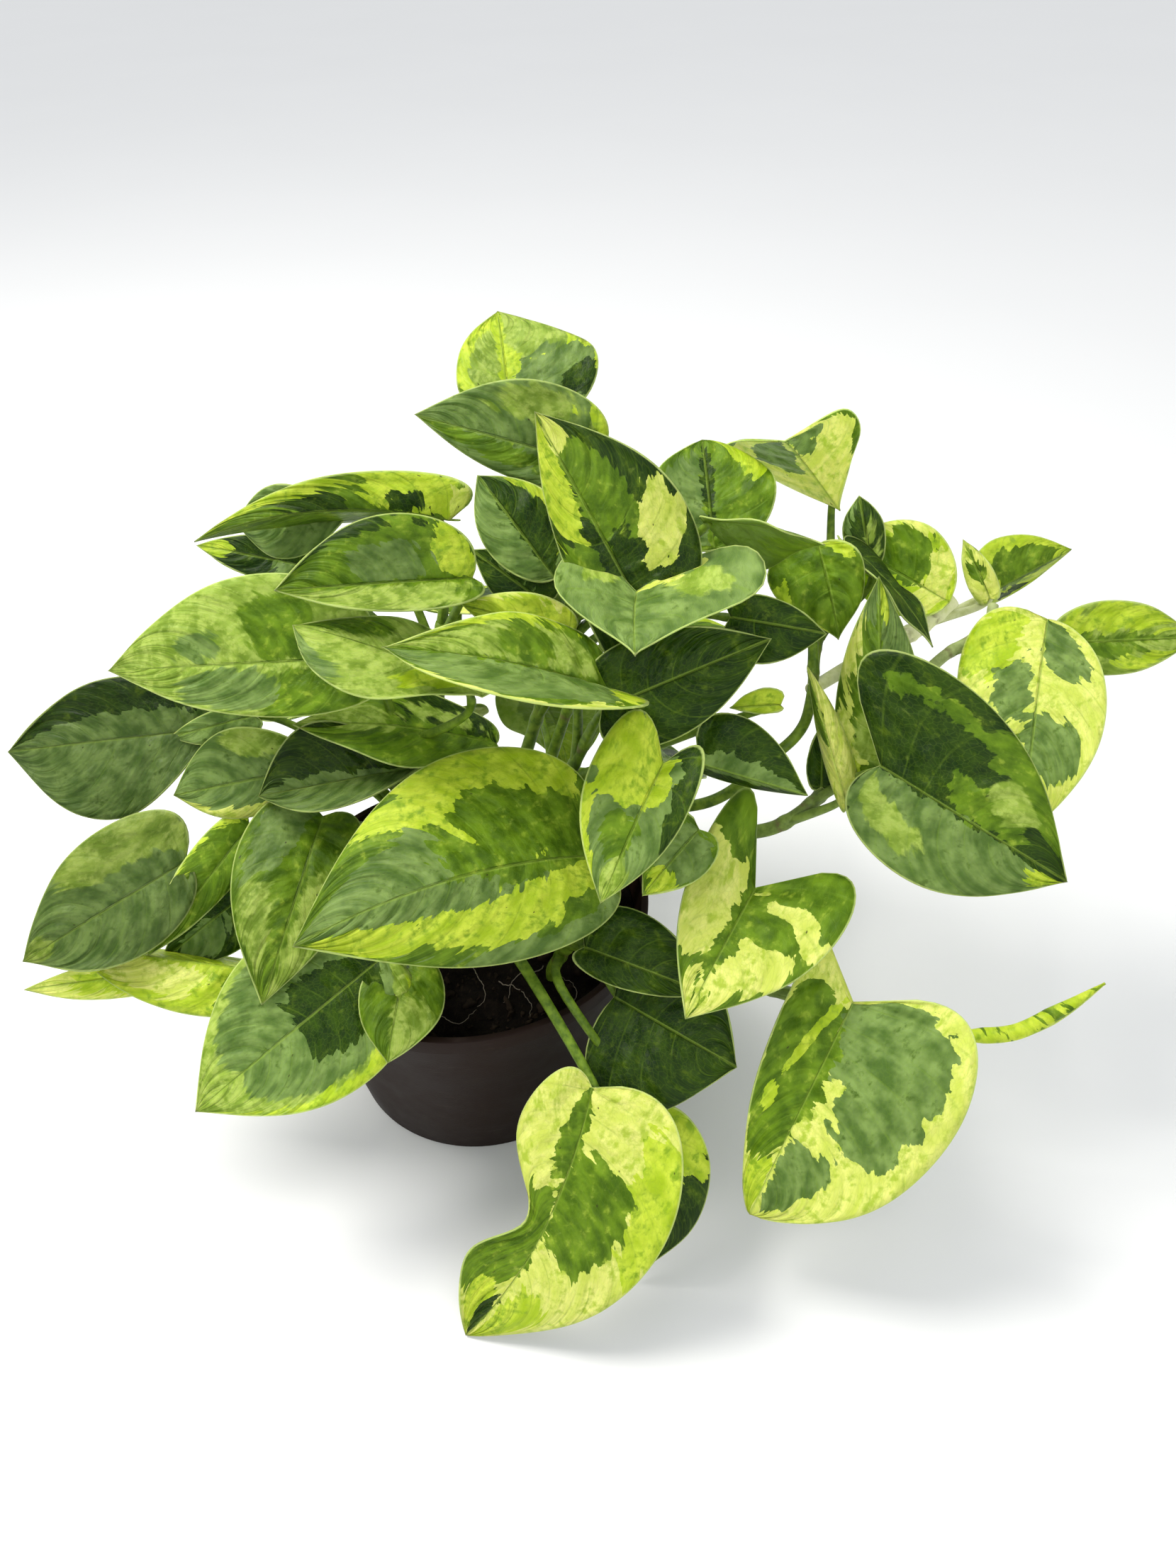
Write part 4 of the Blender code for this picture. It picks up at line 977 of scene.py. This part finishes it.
def makeFurledLeaf(name, materials):
    # a young leaf still rolled up: a sheet wound about its own axis
    path = smoothPath([metres(point) for point in furledSettings["path"]], stemSettings["steps"], False)
    points = asArray(path)
    tangents = directions(points)
    upright = np.array((0, 0, 1.0)) - tangents[:, 2:3] * tangents
    upright /= np.linalg.norm(upright, axis=1)[:, None]
    sideways = np.cross(tangents, upright)
    item, u, v = newGrid(name, len(points) - 1, furledSettings["columns"])
    row = np.rint(u * (len(points) - 1)).astype(int)
    fat = furledSettings["radius"] * np.minimum(1, 0.55 + 3 * u) * np.clip((1.03 - u) * 2.2, 0.10, 1) ** 0.8
    turn = -2 * np.pi * furledSettings["turns"] * v - 2.4 * u + 2.2
    radius = fat * (0.62 + 0.38 * v)
    placeVertices(item, roundPath(points[row], radius, turn, upright[row], sideways[row]))
    none = -bladeSettings["zoneDepth"]
    storeAttribute(item, "zonesA", none, 0.9 * np.sin(24 * u + 5 * v) - 0.9, none)      # dark, green, grey
    storeAttribute(item, "zonesB", 0.4, np.where(v > 0.93, 1.5, none), none)            # lime, cream, mottle
    long, broad, number = furledSettings["long"], furledSettings["broad"], furledSettings["number"]
    storeAttribute(item, "veinPlace", u * long + v, v * broad, number)
    storeAttribute(item, "bladePlace", u * long, v * broad, number)
    storeAttribute(item, "leafEdge", (1 - v) * 12, 6.0, 0.7)    # far from a midrib, and of a middling tone
    mergeDoubles(item)
    cover(item, *materials)
    thicken(item, furledSettings["thickness"], -1)
    return item


def makeVine(node, shoots, materials, skin, firstLeaf):
    blades, stalks = [], []
    number = firstLeaf
    for count, shoot in enumerate(shoots):
        path = smoothPath(shoot["path"], stemSettings["partSteps"], shoot["rooted"])
        stalks.append(makeStem(f"{node}_stem_{count}", shoot))
        for blade in shoot["leaves"]:
            number += 1
            start, heading = alongPath(path, blade["at"])
            pale = paleness(shoot, blade["at"]) * stemSettings["stalkPale"]
            stalks.append(makePetiole(f"{node}_petiole_{number}", blade, start, heading, pale))
            blades.append(makeBlade(f"{node}_blade_{number}", blade, number, materials))
    if node == "vine_low_right":
        blades.append(makeFurledLeaf("furled", materials))
    leaves = joinPieces(node + "_leaves", blades)
    stems = joinPieces(node + "_stems", stalks)
    cover(stems, skin)
    for piece in (leaves, stems):
        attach(piece, "root")
        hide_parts(node)
    print(node, "leaves:", number - firstLeaf)
    return number


# pot: sizes as in the part
potSettings = {
    "height": 0.097, "baseRadius": 0.057, "rimRadius": 0.076, "wall": 0.0013, "floor": 0.0018,
    "lipHeight": 0.007, "lipStep": 0.0016, "edge": 0.0006, "sides": 160,
    "drainHoles": 8, "drainRadius": 0.004, "drainCircle": 0.044, "drainSides": 32,
    "smoothBelow": 35,      # degrees
}


def wallRadius(height):
    pot = potSettings
    return pot["baseRadius"] + (pot["rimRadius"] - pot["lipStep"] - pot["baseRadius"]) * height / pot["height"]


def innerRadius(height):
    return wallRadius(height) - potSettings["wall"]


def makePot():
    pot = potSettings
    edge, height, rim, floor = pot["edge"], pot["height"], pot["rimRadius"], pot["floor"]
    lipFoot = height - pot["lipHeight"]
    # radius and height of each ring, up the outside, over the lip and down the inside
    outside = [(wallRadius(level), level) for level in (edge, 2 * edge, lipFoot * 0.5, lipFoot - edge)]
    lip = [(rim - edge, lipFoot - edge * 0.3), (rim - edge / 2, lipFoot), (rim, height - 2 * edge),
           (rim - edge * 0.3, height - edge * 0.4), (rim - edge, height), (innerRadius(height) + edge, height)]
    inside = [(innerRadius(height - edge) + edge * 0.2, height - edge * 0.3),
              (innerRadius(height - edge), height - edge), (innerRadius(floor + 2 * edge), floor + 2 * edge),
              (innerRadius(floor) - 2 * edge, floor)]
    stations = [(pot["baseRadius"] - edge, 0), *outside, *lip, *inside]
    selectOnly()
    bpy.ops.mesh.primitive_circle_add(vertices=pot["sides"], radius=stations[0][0], fill_type="NGON")
    shell = bpy.context.object
    shell.name = "pot_shell"
    bpy.ops.object.mode_set(mode="EDIT")
    bpy.ops.mesh.select_all(action="SELECT")
    bpy.ops.mesh.flip_normals()
    bpy.ops.mesh.select_mode(type="EDGE")
    bpy.ops.mesh.select_all(action="DESELECT")
    bpy.ops.mesh.select_non_manifold(extend=False)
    radius, level = stations[0]
    for nextRadius, nextLevel in stations[1:]:
        bpy.ops.mesh.extrude_region_move(TRANSFORM_OT_translate={"value": (0, 0, nextLevel - level)})
        grow = nextRadius / radius
        bpy.ops.transform.resize(value=(grow, grow, 1), center_override=(0, 0, nextLevel))
        radius, level = nextRadius, nextLevel
    bpy.ops.mesh.edge_face_add()
    bpy.ops.mesh.select_all(action="SELECT")
    bpy.ops.mesh.normals_make_consistent(inside=False)
    bpy.ops.object.mode_set(mode="OBJECT")
    for k in range(pot["drainHoles"]):
        turn = 2 * math.pi * k / pot["drainHoles"]
        selectOnly()
        place = (pot["drainCircle"] * math.cos(turn), pot["drainCircle"] * math.sin(turn), 0)
        bpy.ops.mesh.primitive_cylinder_add(vertices=pot["drainSides"], radius=pot["drainRadius"],
                                            depth=4 * floor, location=place)
        drill = bpy.context.object
        hole = shell.modifiers.new("drain", "BOOLEAN")
        hole.object = drill
        bpy.context.view_layer.objects.active = shell
        bpy.ops.object.modifier_apply(modifier=hole.name)
        bpy.data.objects.remove(drill)
    cover(shell, potPlastic())
    selectOnly(shell)
    bpy.ops.object.shade_smooth_by_angle(angle=math.radians(pot["smoothBelow"]))
    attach(shell, "root")
    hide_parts("pot")
    print("pot made")


soilSettings = {
    "top": 0.084, "relief": 0.0016, "clod": 0.0011, "gap": 0.0003,
    "rings": 64,            # from the middle of the top to the wall, then those down the wall
    "wallRings": 5,
    "spokes": 168,
    "flatEdge": 12,         # a twelfth of the radius by the wall has less relief
}
crumbSettings = {
    "count": 520, "smallest": 0.0006, "spread": 0.0022,     # half sizes, metres
    "reach": 0.97, "raised": 0.15, "spin": 6.3,
}
rootSettings = {
    "count": 16, "steps": 26, "step": 0.0011, "bend": 0.5, "turn": 6.28,
    "lift": 0.0005, "wave": 0.0006, "radius": 0.00026, "tipRadius": 0.00009, "sides": 8,
    "reach": 0.96,
    "turnBack": 2.0,        # radians, at the wall
}


def soilHeight(x, y):
    # gentle humps and hollows, then small clods
    broad = soilSettings["relief"] * (np.sin(170 * x + 1.0) * np.cos(140 * y) + 0.5 * np.sin(310 * y + 230 * x))
    small = (np.sin(1150 * x + 3 * np.sin(640 * y)) * np.sin(1320 * y + 2 * np.sin(870 * x))
             + 0.5 * np.sin(2600 * x + 1.3) * np.sin(2900 * y))
    return soilSettings["top"] + broad + soilSettings["clod"] * 0.5 * small


def makeSoil():
    gap, high, rings = soilSettings["gap"], soilSettings["top"], soilSettings["rings"]
    low, top = potSettings["floor"] + gap, innerRadius(high) - gap
    last = rings + soilSettings["wallRings"] + 1
    item, u, v = newGrid("soil_bed", last, soilSettings["spokes"])
    row = np.rint(u * last).astype(int)
    inner = np.clip(row / rings, 0, 1)
    level = high + (low - high) * np.clip((row - rings) / soilSettings["wallRings"], 0, 1)
    radius = np.where(row <= rings, inner * top, innerRadius(level) - gap)
    radius = np.where(row == last, 0, radius)
    turn = 2 * np.pi * v
    x, y = radius * np.cos(turn), radius * np.sin(turn)
    away = np.clip((1 - inner) * soilSettings["flatEdge"], 0, 1)
    z = np.where(row <= rings, soilHeight(x, y) * away + high * (1 - away), level)
    placeVertices(item, np.stack([x, y, z], axis=1))
    mergeDoubles(item)
    joinPieces("soil_bed", [item])
    cover(item, peatWithPaintedShade())
    crumbs = makeCrumbs(top)
    roots = makeRoots(top)
    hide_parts("soil")
    for piece in (item, crumbs, roots):
        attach(piece, "root")
    print("soil made")


def makeCrumbs(top):
    # bits of bark and peat: one rough lump copied at many sizes
    selectOnly()
    bpy.ops.mesh.primitive_ico_sphere_add(subdivisions=2, radius=1)
    lump = bpy.context.object
    for vertex in lump.data.vertices:
        vertex.co *= 0.8 + 0.35 * math.sin(9 * vertex.co.x + 4 * vertex.co.y) * math.cos(7 * vertex.co.z)
    pieces = []
    crumbs = crumbSettings
    for _ in range(crumbs["count"]):
        spread, turn = top * crumbs["reach"] * math.sqrt(random.random()), random.uniform(0, 2 * math.pi)
        x, y = spread * math.cos(turn), spread * math.sin(turn)
        crumb = lump.copy()
        crumb.data = lump.data.copy()
        bpy.context.scene.collection.objects.link(crumb)
        size = crumbs["smallest"] + crumbs["spread"] * random.random() ** 3
        spin = [Matrix.Rotation(random.uniform(0, crumbs["spin"]), 4, axis) for axis in "ZX"]
        shape = Matrix.Diagonal((size * random.uniform(0.8, 1.6), size, size * random.uniform(0.4, 0.9), 1))
        place = Matrix.Translation((x, y, float(soilHeight(x, y)) + size * crumbs["raised"]))
        crumb.data.transform(place @ spin[0] @ spin[1] @ shape)
        pieces.append(crumb)
    bpy.data.objects.remove(lump)
    bark = joinPieces("soil_crumbs", pieces)
    cover(bark, barkCrumb())
    return bark


def makeRoots(top):
    # fine pale roots that wander over the soil
    pieces = []
    root = rootSettings
    for number in range(root["count"]):
        # every other root is at the front
        turn = random.uniform(-2.6, -0.6) if number % 2 else random.uniform(0, root["turn"])
        spread, heading = random.uniform(0.3, 0.86) * top, random.uniform(0, root["turn"])
        x, y = spread * math.cos(turn), spread * math.sin(turn)
        path = []
        for _ in range(root["steps"]):
            path.append((x, y, float(soilHeight(x, y)) + root["lift"] + root["wave"] * random.random()))
            heading += random.uniform(-root["bend"], root["bend"])
            x += root["step"] * math.cos(heading)
            y += root["step"] * math.sin(heading)
            if math.hypot(x, y) > top * root["reach"]:
                heading += root["turnBack"]
                x, y = path[-1][0] * 0.99, path[-1][1] * 0.99
        radii = np.linspace(root["radius"], root["tipRadius"], len(path))
        pieces.append(sweepTube(f"root_{number}", path, radii, root["sides"], (0, 0, 1)))
    roots = joinPieces("soil_roots", pieces)
    cover(roots, paleRoot())
    return roots


random.seed(11)
makeStudio()
leafMaterials = [leafSurface("leafFace"), leafSurface("leafUnderside", under=True)]
stemMaterial = stemSkin()
leafCount = 0
for vineNode, shoots in vines.items():
    leafCount = makeVine(vineNode, shoots, leafMaterials, stemMaterial, leafCount)
makePot()
makeSoil()
